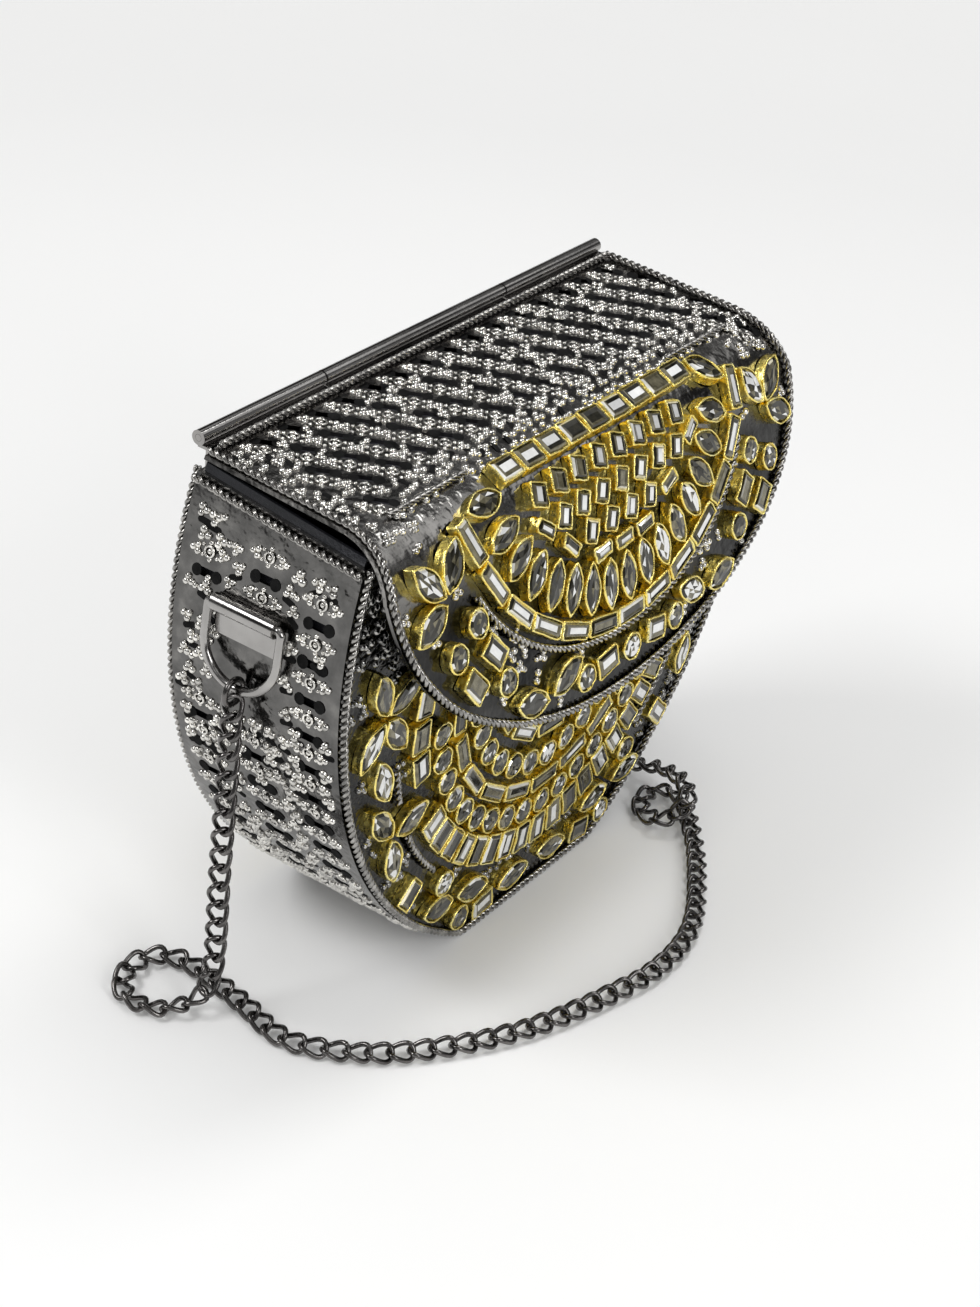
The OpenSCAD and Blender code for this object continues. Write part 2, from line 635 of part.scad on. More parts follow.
module band() {
    color(metal_colour) difference() {
        intersection() {
            outline(0, -half_depth, half_depth);
            below_rim(0);
        }
        outline(sheet, -half_depth - sheet, half_depth + sheet);
        for (side = [-1, 1]) side_slots(side);
    }
}

module panel(front) {
    color(metal_colour) intersection() {
        outline(sheet + lay_gap, front ? -half_depth : half_depth - sheet,
                front ? -half_depth + sheet : half_depth);
        below_rim(0);
    }
}

module front_panel() { panel(true); }

module back_panel() { panel(false); }

module front_edge_rope() { rope_along_edge(-half_depth - rope_radius - lay_gap); }

module back_edge_rope() { rope_along_edge(half_depth + rope_radius + lay_gap); }

module mouth_ropes() {
    color(metal_colour)
        for (side = [-1, 1]) rod(rim_spot(side, half_depth), rim_spot(side, -half_depth), rope_radius);
}

// a point on the centre line of the rope along a side's rim
function rim_spot(side, y) =
    let (a = asin((rim_at(y) - mouth_rope_drop - side_curve_height) / side_curve_radius),
         r = side_curve_radius + rope_radius + 2 * lay_gap)
        [side * (r * cos(a) - side_curve_past), y, side_curve_height + r * sin(a)];

module rod(from, to, r) {
    way = to - from;
    translate(from) rotate([0, acos(way[2] / norm(way)), atan2(way[1], way[0])])
        cylinder(r = r, h = norm(way), $fn = 24);
}

module mouth_collar() {
    color([0.12, 0.12, 0.14]) difference() {
        intersection() {
            outline(sheet + lay_gap, -half_depth + sheet + lay_gap, half_depth - sheet - lay_gap);
            below_rim(collar_rise);
            above_rim(-collar_drop);
        }
        outline(sheet + lay_gap + collar_wall, -half_depth + sheet + lay_gap + collar_wall,
                half_depth - sheet - lay_gap - collar_wall);
    }
}

lining_inset = sheet + lay_gap + collar_wall + lining_gap;
module case_lining() {
    color(cloth_colour) difference() {
        intersection() {
            outline(lining_inset, -half_depth + lining_inset, half_depth - lining_inset);
            below_rim(-lining_edge_drop);
        }
        outline(lining_inset + lining_wall, -half_depth + lining_inset + lining_wall,
                half_depth - lining_inset - lining_wall);
    }
}

ring_axis_x = side_x(ring_height) + ring_barrel_radius + lay_gap;
module ring_tab(side) {
    color(metal_colour) difference() {
        union() {
            translate([side * ring_axis_x, ring_back + ring_barrel_length / 2, ring_height])
                rotate([90, 0, 0]) cylinder(r = ring_barrel_radius, h = ring_barrel_length, $fn = 40);
            intersection() {
                along_y(-side * side_curve_past, side_curve_height, side_curve_radius + lay_gap + ring_plate,
                        ring_back - ring_barrel_length / 2, ring_back + ring_barrel_length / 2);
                translate([side > 0 ? 0 : -far, -far / 2, ring_height - ring_plate_height])
                    cube([far, far, ring_plate_height]);
            }
        }
        along_y(-side * side_curve_past, side_curve_height, side_curve_radius + lay_gap,
                -far / 4, far / 4);
        along_y(side * ring_axis_x, ring_height, ring_wire + running_clearance, -far / 4, far / 4);
    }
}

module left_ring_tab() { ring_tab(-1); }

module right_ring_tab() { ring_tab(1); }

// the ring hangs in its own plane from its straight bar
module hung_ring(side) {
    color(metal_colour)
        translate([side * ring_axis_x, ring_back, ring_height]) rotate([0, -side * ring_rest_angle, 0]) {
            translate([0, ring_half_width - ring_corner, 0]) rotate([90, 0, 0])
                cylinder(r = ring_wire, h = 2 * (ring_half_width - ring_corner), $fn = 32);
            for (end = [-1, 1]) {
                translate([0, end * ring_half_width, -ring_arm])
                    cylinder(r = ring_wire, h = ring_arm - ring_corner, $fn = 32);
                translate([0, end * (ring_half_width - ring_corner), -ring_corner])
                    rotate([90, 0, 90]) rotate_extrude(angle = 90, start = end < 0 ? 90 : 0, $fn = 64)
                        translate([ring_corner, 0]) circle(r = ring_wire, $fn = 32);
            }
            translate([0, 0, -ring_arm]) rotate([90, 0, 90])
                rotate_extrude(angle = 180, start = 180, $fn = 64)
                    translate([ring_half_width, 0]) circle(r = ring_wire, $fn = 32);
        }
}

module left_ring() { hung_ring(-1); }

module right_ring() { hung_ring(1); }

ring_drop = ring_arm + ring_half_width;
link_hang = link_ring_radius - link_ring_wire - ring_wire - link_play;
link_x = ring_axis_x + ring_drop * sin(ring_rest_angle) + link_hang * cos(link_lean);
link_z = ring_height - ring_drop * cos(ring_rest_angle) - link_hang * sin(link_lean);
module link_ring(side) {
    color(metal_colour)
        translate([side * link_x, ring_back, link_z]) rotate([90, 0, 0])
            rotate_extrude($fn = 64) translate([link_ring_radius, 0]) circle(r = link_ring_wire, $fn = 24);
}

module left_link_ring() { link_ring(-1); }

module right_link_ring() { link_ring(1); }

module case_hinge() {
    color(metal_colour) difference() {
        union() {
            for (side = [-1, 1])
                translate([side > 0 ? lid_barrel_half + barrel_gap : -hinge_half_length, 0, 0]) {
                    along_x(hinge_y, hinge_z, barrel_radius, 0, case_barrel);
                    translate([0, half_depth + lay_gap, rim_height - leaf])
                        cube([case_barrel, leaf, hinge_z - barrel_radius + leaf - rim_height + leaf / 2]);
                    translate([0, half_depth + lay_gap, hinge_z - barrel_radius - leaf / 2])
                        cube([case_barrel, hinge_behind, leaf]);
                }
            translate([-hinge_half_length, half_depth + lay_gap, rim_height - case_leaf_length])
                cube([2 * hinge_half_length, leaf, case_leaf_length]);
        }
        along_x(hinge_y, hinge_z, pin_radius + running_clearance, -far / 2, far / 2);
    }
}
case_barrel = hinge_half_length - lid_barrel_half - barrel_gap;

module lid_hinge() {
    color(metal_colour) difference() {
        union() {
            along_x(hinge_y, hinge_z, barrel_radius, -lid_barrel_half, lid_barrel_half);
            translate([-lid_barrel_half, half_depth, lid_height]) rotate([lid_slope, 0, 0])
                translate([0, -lid_leaf_length, lay_gap])
                    cube([2 * lid_barrel_half, lid_leaf_length + hinge_behind, leaf]);
            translate([-back_rope_half, half_depth, lid_height]) rotate([lid_slope, 0, 0])
                translate([0, -lid_leaf_length, lay_gap])
                    cube([2 * back_rope_half, lid_leaf_length - lid_back_gap, leaf]);
        }
        along_x(hinge_y, hinge_z, pin_radius + running_clearance, -far / 2, far / 2);
    }
}

module hinge_pin() {
    color(metal_colour) along_x(hinge_y, hinge_z, pin_radius, -hinge_half_length, hinge_half_length);
}

module lid_shell() {
    color(metal_colour) difference() {
        intersection() {
            lid_layer(-sheet, 0, far / 4);
            lid_outline(0);
        }
        lid_slots();
    }
}

module lid_edge_rope() {
    color(metal_colour) difference() {
        intersection() {
            lid_layer(lay_gap, trim, far / 4);
            lid_outline(0);
        }
        lid_outline(trim);
    }
}

module lid_back_rope() {
    color(metal_colour)
        translate([0, lid_y(back_rope_reach), lid_z(back_rope_reach)]) rotate([lid_slope, 0, 0])
            translate([-back_rope_half, 0, rope_radius + leaf + 2 * lay_gap]) rotate([0, 90, 0])
                cylinder(r = rope_radius, h = 2 * back_rope_half, $fn = 24);
}
back_rope_half = side_x(lid_height) - lid_side_inset - trim - rope_radius;

module medallion_rope() {
    wide = bar_arc_half_width + bar_width / 2 + trim / 2;
    deep = lid_z(row_reach) - lid_z(row_reach + bar_arc_depth + bar_width / 2 + trim / 2);
    color(metal_colour) intersection() {
        lid_layer(lay_gap, trim, far / 4);
        translate([-far / 2, -far / 2, 0]) cube([far, far, lid_height - medallion_rope_drop]);
        difference() {
            along_y_oval(wide + trim, deep + trim, lid_z(row_reach));
            along_y_oval(wide, deep, lid_z(row_reach));
        }
    }
}

module along_y_oval(wide, deep, z) {
    translate([0, far / 4, z]) rotate([90, 0, 0])
        scale([wide / deep, 1, 1]) cylinder(r = deep, h = far / 2, $fn = 180);
}

module lid_florets() {
    color(metal_colour)
        for (p = top_places) on_lid(p[0], p[1], top_turn) floret();
}

module front_rope_arcs() {
    color(metal_colour)
        for (side = [-1, 1]) for (arc = fan_rope_arcs)
            translate([0, -half_depth - rope_radius - lay_gap, fan_height])
                rotate([90, 0, 0]) mirror([side > 0 ? 1 : 0, 0, 0])
                    rotate_extrude(angle = arc[1] - arc[0], start = arc[0], $fn = 180)
                        translate([fan_rope_radius, 0]) circle(r = rope_radius, $fn = 24);
}

module front_florets() {
    color(metal_colour) for (p = raised(front_floret_places)) on_front(p[0], p[1], p[2]) floret();
}

module lid_lining() {
    color(cloth_colour)
        translate([0, half_depth, lid_height]) rotate([lid_slope, 0, 0])
            translate([-lid_lining_half, -top_length, -sheet - lay_gap - lid_cloth])
                cube([2 * lid_lining_half, top_length - lid_cloth_inset, lid_cloth]);
}
lid_lining_half = side_x(lid_height) - lid_cloth_inset;

module case_magnet() {
    color([0.5, 0.5, 0.52]) on_front(0, lid_height - magnet_drop, 0)
        cylinder(r = magnet_radius, h = magnet_mount + magnet_thickness, $fn = 64);
}

module lid_magnet() {
    color([0.5, 0.5, 0.52])
        translate([0, lid_y(lid_magnet_reach), lid_z(lid_magnet_reach)])
            rotate([lid_angle(lid_magnet_reach), 0, 0])
                translate([0, 0, -sheet - lid_magnet_depth - magnet_bow])
                    cylinder(r = magnet_radius, h = lid_magnet_depth, $fn = 64);
}
magnet_bow = flap_radius - sqrt(pow(flap_radius - sheet, 2) - pow(magnet_radius, 2)) - sheet + lay_gap;

// the chain follows these places on its way from the left ring to the right ring
chain_top = link_z - link_ring_radius - link_radius + link_ring_wire + link_wire + link_play;
chain_stops = concat(
    [[-link_x, ring_back, chain_top + link_radius], [-link_x, ring_back, chain_top],
     [-link_x - chain_drift / 2, ring_back, chain_top / 2],
     [-link_x - chain_drift, ring_back, 3 * chain_lie]],
    [for (p = chain_floor) [p[0], p[1], chain_lie + p[2] * chain_layer]],
    [[link_x, ring_back, 3 * chain_lie], [link_x, ring_back, chain_top / 2],
     [link_x, ring_back, chain_top], [link_x, ring_back, chain_top + link_radius]]);
function bend(a, b, c, d, t) = ((-a + 3 * b - 3 * c + d) * pow(t, 3)
    + (2 * a - 5 * b + 4 * c - d) * pow(t, 2) + (c - a) * t + 2 * b) / 2;
chain_way = [for (i = [1:len(chain_stops) - 3]) for (t = [0:1 / chain_cuts:0.999])
    bend(chain_stops[i - 1], chain_stops[i], chain_stops[i + 1], chain_stops[i + 2], t)];
function ways(points, i = 0, sum = 0) = i >= len(points) ? []
    : concat([sum], ways(points, i + 1, i + 1 < len(points) ? sum + norm(points[i + 1] - points[i]) : sum));
chain_marks = ways(chain_way);
chain_total = chain_marks[len(chain_marks) - 1];
function chain_at(d) = [for (k = [0:2]) lookup(d, [for (i = [0:len(chain_way) - 1]) [chain_marks[i], chain_way[i][k]]])];
link_count = round(chain_total / (2 * (link_radius - link_wire) - link_play));
link_pitch = chain_total / link_count;

module links(first, last) {
    color(metal_colour)
        for (k = [first:last]) {
            here = chain_at(k * link_pitch);
            ahead = chain_at(min(chain_total, k * link_pitch + link_pitch / 2));
            behind = chain_at(max(0, k * link_pitch - link_pitch / 2));
            way = ahead - behind;
            flat = norm([way[0], way[1]]);
            translate(here)
                rotate([0, -atan2(way[2], flat), flat < steep_share * abs(way[2]) ? 0 : atan2(way[1], way[0])])
                    rotate([(k % 2) * 90 + link_roll, 0, 0])
                        rotate_extrude($fn = 48) translate([link_radius, 0]) circle(r = link_wire, $fn = 16);
        }
}
hang_links = floor((chain_top - 2 * chain_lie) / link_pitch);
floor_links = floor((link_count - 2 * hang_links) / 4);

module chain_left_hang() { links(0, hang_links - 1); }

module chain_floor_one() { links(hang_links, hang_links + floor_links - 1); }

module chain_floor_two() { links(hang_links + floor_links, hang_links + 2 * floor_links - 1); }

module chain_floor_three() { links(hang_links + 2 * floor_links, hang_links + 3 * floor_links - 1); }

module chain_floor_four() { links(hang_links + 3 * floor_links, link_count - hang_links - 1); }

module chain_right_hang() { links(link_count - hang_links, link_count); }

module front_brick_bezels() { front_pieces("brick", front_brick_places, true); }

module front_brick_stones() { front_pieces("brick", front_brick_places, false); }

module front_bar_bezels() { front_pieces("bar", front_bar_places, true); }

module front_bar_stones() { front_pieces("bar", front_bar_places, false); }

module front_petal_bezels() { front_pieces("petal", front_petal_places, true); }

module front_petal_stones() { front_pieces("petal", front_petal_places, false); }

module front_round_bezels() { front_pieces("round", front_round_places, true); }

module front_round_stones() { front_pieces("round", front_round_places, false); }

module flap_brick_bezels() {
    flap_pieces("brick", flap_brick_places, true);
    flap_pieces("tile", flap_tiles, true);
}

module flap_brick_stones() {
    flap_pieces("brick", flap_brick_places, false);
    flap_pieces("tile", flap_tiles, false);
}

module flap_bar_bezels() {
    flap_pieces("bar", flap_bar_places, true);
    flap_pieces("short", flap_slims, true);
}

module flap_bar_stones() {
    flap_pieces("bar", flap_bar_places, false);
    flap_pieces("short", flap_slims, false);
}

module flap_leaf_bezels() { flap_pieces("leaf", flap_leaf_places, true); }

module flap_leaf_stones() { flap_pieces("leaf", flap_leaf_places, false); }

module flap_petal_bezels() { flap_pieces("petal", flap_petal_places, true); }

module flap_petal_stones() { flap_pieces("petal", flap_petal_places, false); }

module flap_round_bezels() { flap_pieces("round", flap_round_places, true); }

module flap_round_stones() { flap_pieces("round", flap_round_places, false); }

module back_bezels() { back_pieces(true); }

module back_stones() { back_pieces(false); }

module left_florets() { side_florets(-1); }

module right_florets() { side_florets(1); }

translate([0, y_shift, 0]) {
    band();
    front_panel();
    back_panel();
    front_edge_rope();
    back_edge_rope();
    mouth_ropes();
    mouth_collar();
    case_lining();
    left_florets();
    right_florets();
    front_florets();
    front_rope_arcs();
    left_ring_tab();
    right_ring_tab();
    case_hinge();
    hinge_pin();
    front_brick_bezels();
    front_bar_bezels();
    front_petal_bezels();
    front_round_bezels();
    front_brick_stones();
    front_bar_stones();
    front_petal_stones();
    front_round_stones();
    back_bezels();
    back_stones();
    case_magnet();
    lid_shell();
    lid_edge_rope();
    lid_back_rope();
    medallion_rope();
    lid_florets();
    lid_hinge();
    flap_brick_bezels();
    flap_bar_bezels();
    flap_leaf_bezels();
    flap_petal_bezels();
    flap_round_bezels();
    flap_brick_stones();
    flap_bar_stones();
    flap_leaf_stones();
    flap_petal_stones();
    flap_round_stones();
    lid_lining();
    lid_magnet();
    left_ring();
    left_link_ring();
    right_ring();
    right_link_ring();
    chain_left_hang();
    chain_floor_one();
    chain_floor_two();
    chain_floor_three();
    chain_floor_four();
    chain_right_hang();
}
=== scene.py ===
"""Looks of a metal clutch bag: dark filigree sheet, twisted wire, brass bezels, glass stones and a chain."""
import math
import random

import bpy
import numpy as np
from mathutils import Matrix, Vector


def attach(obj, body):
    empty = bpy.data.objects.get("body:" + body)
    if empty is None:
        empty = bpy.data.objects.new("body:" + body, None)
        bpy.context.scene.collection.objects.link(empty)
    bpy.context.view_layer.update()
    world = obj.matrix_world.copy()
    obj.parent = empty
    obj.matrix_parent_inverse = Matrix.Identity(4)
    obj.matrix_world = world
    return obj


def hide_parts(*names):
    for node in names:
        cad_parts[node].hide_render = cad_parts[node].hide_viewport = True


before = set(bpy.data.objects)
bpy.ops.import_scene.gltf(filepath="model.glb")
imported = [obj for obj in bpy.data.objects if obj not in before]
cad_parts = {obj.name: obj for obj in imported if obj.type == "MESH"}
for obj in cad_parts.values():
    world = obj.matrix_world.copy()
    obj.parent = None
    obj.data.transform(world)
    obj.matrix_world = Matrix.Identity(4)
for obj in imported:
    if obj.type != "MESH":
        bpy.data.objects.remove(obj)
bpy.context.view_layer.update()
MM = 0.001
rng = random.Random(11)

# Measures in millimetres, as in the part's source
CASE_DEPTH = 53.0
SIDE_R, SIDE_PAST, SIDE_H = 121.7, 23.4, 108.3
LID_H, LID_SLOPE = 152.0, 3.0
RIM_H, RIM_SLOPE = 148.5, 5.7
GAP, ROPE_R = 0.05, 1.1
SHOULDER_START, SHOULDER_R, SHOULDER_END = 17.0, 20.0, 69.0
FLAP_R, FLAP_HALF, FLAP_WIDE_H, FLAP_DROP = 246.0, 94.0, 137.0, 57.0
LID_INSET, TRIM = 0.6, 2.0
BARREL_R, HINGE_BEHIND = 2.0, 3.4
RING_H, RING_BACK, RING_BARREL, RING_BARREL_R = 121.2, 2.6, 19.6, 2.3
RING_WIRE, RING_HALF, RING_ARM, RING_REST = 1.2, 11.4, 9.0, 5.5
LINK_RING_R, LINK_RING_WIRE, LINK_LEAN = 3.4, 0.8, 42.0
LINK_R, LINK_WIRE, LINK_PLAY = 3.1, 0.7, 0.5
BEZEL_H, LOW_BEZEL_H, BEZEL_WALL, STONE_GAP, STONE_RISE = 3.0, 2.6, 0.8, 0.1, 0.4
ROW_REACH, ROW_PITCH, ROW_SHIFT = 52.3, 9.9, 3.0
LEAF_ARC, BAR_ARC = (51.5, 41.4), (63.0, 51.5)
SIZES = {"brick": (9.4, 7.0), "bar": (12.6, 5.2), "short": (7.8, 4.2), "tile": (6.9, 6.1),
         "leaf": (14.4, 7.2), "petal": (14.6, 7.8), "round": (8.0, 8.0)}
FAN_H, FAN_R, ROPE_ARC_R = 86.0, 64.4, 73.0
PETAL_REACH, FLORET_REACH = 8.3, 3.7
HALF = CASE_DEPTH / 2


def sin(a):
    return math.sin(math.radians(a))


def cos(a):
    return math.cos(math.radians(a))


def sway(most):
    """A random number from -most to most."""
    return rng.uniform(-most, most)


# The lid's section: s is the way along it from its back edge, over the top and the shoulder to the flap
TOP_LEN = (HALF + SHOULDER_START) / cos(LID_SLOPE)
SHOULDER_LEN = math.radians(SHOULDER_R * (SHOULDER_END - LID_SLOPE))
SHOULDER_Y = HALF - TOP_LEN * cos(LID_SLOPE)
SHOULDER_Z = LID_H - TOP_LEN * sin(LID_SLOPE)
FLAP_Y = SHOULDER_Y - SHOULDER_R * (sin(SHOULDER_END) - sin(LID_SLOPE))
FLAP_Z = SHOULDER_Z - SHOULDER_R * (cos(LID_SLOPE) - cos(SHOULDER_END))
SHOULDER_CENTRE = (SHOULDER_Y + SHOULDER_R * sin(LID_SLOPE), SHOULDER_Z - SHOULDER_R * cos(LID_SLOPE))
FLAP_CENTRE = (FLAP_Y + FLAP_R * sin(SHOULDER_END), FLAP_Z - FLAP_R * cos(SHOULDER_END))


def lid_angle(s):
    if s <= TOP_LEN:
        return LID_SLOPE
    if s <= TOP_LEN + SHOULDER_LEN:
        return LID_SLOPE + math.degrees((s - TOP_LEN) / SHOULDER_R)
    return SHOULDER_END + math.degrees((s - TOP_LEN - SHOULDER_LEN) / FLAP_R)


def lid_arc(s):
    """Centre and radius of the shoulder, or past it of the flap."""
    return (SHOULDER_CENTRE, SHOULDER_R) if s <= TOP_LEN + SHOULDER_LEN else (FLAP_CENTRE, FLAP_R)


def lid_y(s):
    if s <= TOP_LEN:
        return HALF - s * cos(LID_SLOPE)
    centre, r = lid_arc(s)
    return centre[0] - r * sin(lid_angle(s))


def lid_z(s):
    if s <= TOP_LEN:
        return LID_H - s * sin(LID_SLOPE)
    centre, r = lid_arc(s)
    return centre[1] + r * cos(lid_angle(s))


def lid_s(z):
    """Way along the lid at which it has the height z."""
    low, high = 0.0, 130.0
    for _ in range(40):
        mid = (low + high) / 2
        low, high = (mid, high) if lid_z(mid) > z else (low, mid)
    return (low + high) / 2


# Shift that centres the bag in Y, from the hinge's back to the front of the flap's middle round stone
FLAP_MID_ROUND = 114.2
reach = lid_angle(FLAP_MID_ROUND)
flap_reach = (-lid_y(FLAP_MID_ROUND) + (SIZES["round"][0] / 2 - BEZEL_WALL - STONE_GAP) * cos(reach)
              + (GAP + BEZEL_H + STONE_RISE) * sin(reach))
Y_SHIFT = (flap_reach - (HALF + HINGE_BEHIND + BARREL_R)) / 2


def side_x(z, inset=0.0):
    return math.sqrt((SIDE_R - inset) ** 2 - (z - SIDE_H) ** 2) - SIDE_PAST


def rim_at(y):
    return RIM_H - (HALF - y) * math.tan(math.radians(RIM_SLOPE))


# Placing
def rot(axis, a):
    return np.array(Matrix.Rotation(math.radians(a), 4, axis))


def move(x, y, z):
    m = np.eye(4)
    m[:3, 3] = x, y, z
    return m


def on_lid(x, s, turn=0.0):
    return (move(x, lid_y(s) + Y_SHIFT, lid_z(s)) @ rot("X", lid_angle(s)) @ rot("Z", turn)
            @ move(0, 0, GAP))


def on_front(x, z, turn=0.0):
    return move(x, -HALF + Y_SHIFT, z) @ rot("X", 90) @ rot("Z", turn) @ move(0, 0, GAP)


def on_back(x, z, turn=0.0):
    return move(-x, HALF + Y_SHIFT, z) @ rot("Z", 180) @ rot("X", 90) @ rot("Z", turn) @ move(0, 0, GAP)


def on_side(side, angle, y):
    return (move(-side * SIDE_PAST, y + Y_SHIFT, SIDE_H) @ rot("Z", 180 if side < 0 else 0)
            @ rot("Y", -angle) @ move(SIDE_R + GAP, 0, 0) @ rot("Y", 90))


# Meshes
def new_object(name, data):
    obj = bpy.data.objects.new(name, data)
    bpy.context.scene.collection.objects.link(obj)
    return obj


class Pile:
    """Gathers many small forms, in millimetres, into one mesh."""

    def __init__(self):
        self.v, self.f, self.n = [], [], 0

    def add(self, verts, blocks, mats=0, place=None):
        """Adds points and blocks of faces. Each block has one material number, or one for each face."""
        verts = np.asarray(verts, float)
        if place is not None:
            verts = verts @ place[:3, :3].T + place[:3, 3]
        for block, mat in zip(blocks, mats if isinstance(mats, list) else [mats] * len(blocks)):
            self.f.append((block + self.n, np.broadcast_to(mat, len(block))))
        self.v.append(verts)
        self.n += len(verts)

    def mesh(self, name, smooth):
        me = bpy.data.meshes.new(name)
        verts = np.concatenate(self.v) * MM
        me.vertices.add(len(verts))
        me.vertices.foreach_set("co", verts.astype(np.float32).ravel())
        totals = np.concatenate([np.full(len(b), b.shape[1]) for b, _ in self.f])
        loops = np.concatenate([b.ravel() for b, _ in self.f])
        mats = np.concatenate([m for _, m in self.f])
        me.loops.add(len(loops))
        me.loops.foreach_set("vertex_index", loops.astype(np.int32))
        me.polygons.add(len(totals))
        for key, values in (("loop_start", np.cumsum(totals) - totals), ("loop_total", totals),
                            ("material_index", mats)):
            me.polygons.foreach_set(key, values.astype(np.int32))
        me.polygons.foreach_set("use_smooth", np.full(len(totals), smooth))
        me.update(calc_edges=True)
        return me

    def build(self, name, materials, body, slot, replaces=(), smooth=True):
        me = self.mesh(name, smooth)
        for m in materials:
            me.materials.append(m)
        obj = new_object(name, me)
        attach(obj, body)
        if replaces:
            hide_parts(*replaces)
        return obj


def round_angles(count):
    return np.arange(count) * 2 * math.pi / count


def grid_faces(rows, cols, closed=False):
    """Quads between rows of points, each row a loop. Closed joins the last row to the first one."""
    r = np.arange(rows if closed else rows - 1)[:, None]
    c = np.arange(cols)[None, :]
    r2, c2 = (r + 1) % rows, (c + 1) % cols
    return np.stack([r * cols + c, r * cols + c2, r2 * cols + c2, r2 * cols + c], -1).reshape(-1, 4)


def evenly(path, step):
    """Points along a path at even steps, and their distances."""
    path = np.asarray(path, float)
    d = np.concatenate([[0], np.cumsum(np.linalg.norm(np.diff(path, axis=0), axis=1))])
    n = max(2, int(round(d[-1] / step)) + 1)
    t = np.linspace(0, d[-1], n)
    return np.stack([np.interp(t, d, path[:, k]) for k in range(3)], 1), t


def carried(path):
    """Two directions across a path, carried along it without twisting."""
    t = np.gradient(path, axis=0)
    t /= np.linalg.norm(t, axis=1)[:, None]
    a = np.array([0, 0, 1.0])
    if abs(a @ t[0]) > 0.9:
        a = np.array([1.0, 0, 0])
    out = []
    for d in t:
        a = a - (a @ d) * d
        a /= np.linalg.norm(a)
        out.append(a)
    n = np.array(out)
    return n, np.cross(t, n)


def wire_rings(line, n, b, radius, sides):
    """A ring of points round each point of a line, in the directions n and b."""
    a = round_angles(sides)
    ring = np.cos(a)[None, :, None] * n[:, None] + np.sin(a)[None, :, None] * b[:, None]
    return (line[:, None] + radius * ring).reshape(-1, 3)


def wire(pile, path, radius, sides=7):
    """A round wire along a path, with flat ends."""
    first = np.arange(sides)
    last = first + sides * (len(path) - 1)
    pile.add(wire_rings(path, *carried(path), radius, sides),
             [grid_faces(len(path), sides), first[::-1][None], last[None]])


STRANDS, TWIST_PITCH, WOBBLE = 2, 4.4, 0.06


def rope(pile, path, radius=ROPE_R):
    """Wires twisted round each other along a path, a little unevenly."""
    line, way = evenly(path, 0.42)
    n, b = carried(line)
    stray = np.array([sway(WOBBLE) for _ in range(len(line))])
    stray = np.convolve(stray, np.ones(9) / 9, "same") * 3
    for k in range(STRANDS):
        a = 2 * math.pi * (k / STRANDS + way / TWIST_PITCH)
        core = line + radius * 0.5 * (np.cos(a)[:, None] * n + np.sin(a)[:, None] * b) + stray[:, None] * b
        wire(pile, core, radius * 0.52)


def bead_form(n=9):
    """A low dome of radius and height 1."""
    rows = [(1.0, 0.0), (0.93, 0.45), (0.62, 0.83)]
    v = [[k * math.cos(x), k * math.sin(x), z] for k, z in rows for x in round_angles(n)] + [[0, 0, 1.0]]
    top = [[2 * n + i, 2 * n + (i + 1) % n, 3 * n] for i in range(n)]
    return np.array(v), [grid_faces(3, n), np.array(top)]


def ring_form(n=14, m=6, thick=0.24):
    """A round ring of radius 1."""
    v = [[(1 + thick * math.cos(q)) * math.cos(p), (1 + thick * math.cos(q)) * math.sin(p),
          thick * math.sin(q)] for p in round_angles(n) for q in round_angles(m)]
    return np.array(v), [grid_faces(n, m, True)]


BEAD, BEAD_SINK = bead_form(), 0.1
RING, RING_LIFT = ring_form(), 0.35


def bead(pile, place, x, y, r, h):
    pile.add(BEAD[0] * [r, r, h] + [x, y, -BEAD_SINK], BEAD[1], 0, place)


def trefoil(pile, place, x, y, turn, r):
    """Three beads that touch, the pointed side outwards."""
    for a in (turn, turn + 120, turn - 120):
        out = r * (1.06 + sway(0.06))
        bead(pile, place, x + out * cos(a), y + out * sin(a), r * rng.uniform(0.92, 1.06), r)


def floret(pile, place, size):
    """A ringed bead with a trefoil at each end and small beads at its flanks."""
    place = place @ rot("Z", sway(4))
    pile.add(RING[0] * [1.25 * size, 1.25 * size, 1.3 * size] + [0, 0, RING_LIFT], RING[1], 0, place)
    bead(pile, place, 0, 0, 0.72 * size, 0.8)
    for end in (-1, 1):
        trefoil(pile, place, sway(0.2), end * 3.75 * size, 90 * end, 0.86 * size)
        bead(pile, place, end * 1.95 * size, 0, 0.62 * size, 0.6)
        for flank in (end, -end):
            bead(pile, place, flank * 1.2 * size, 2.0 * size * end, 0.5 * size, 0.5)


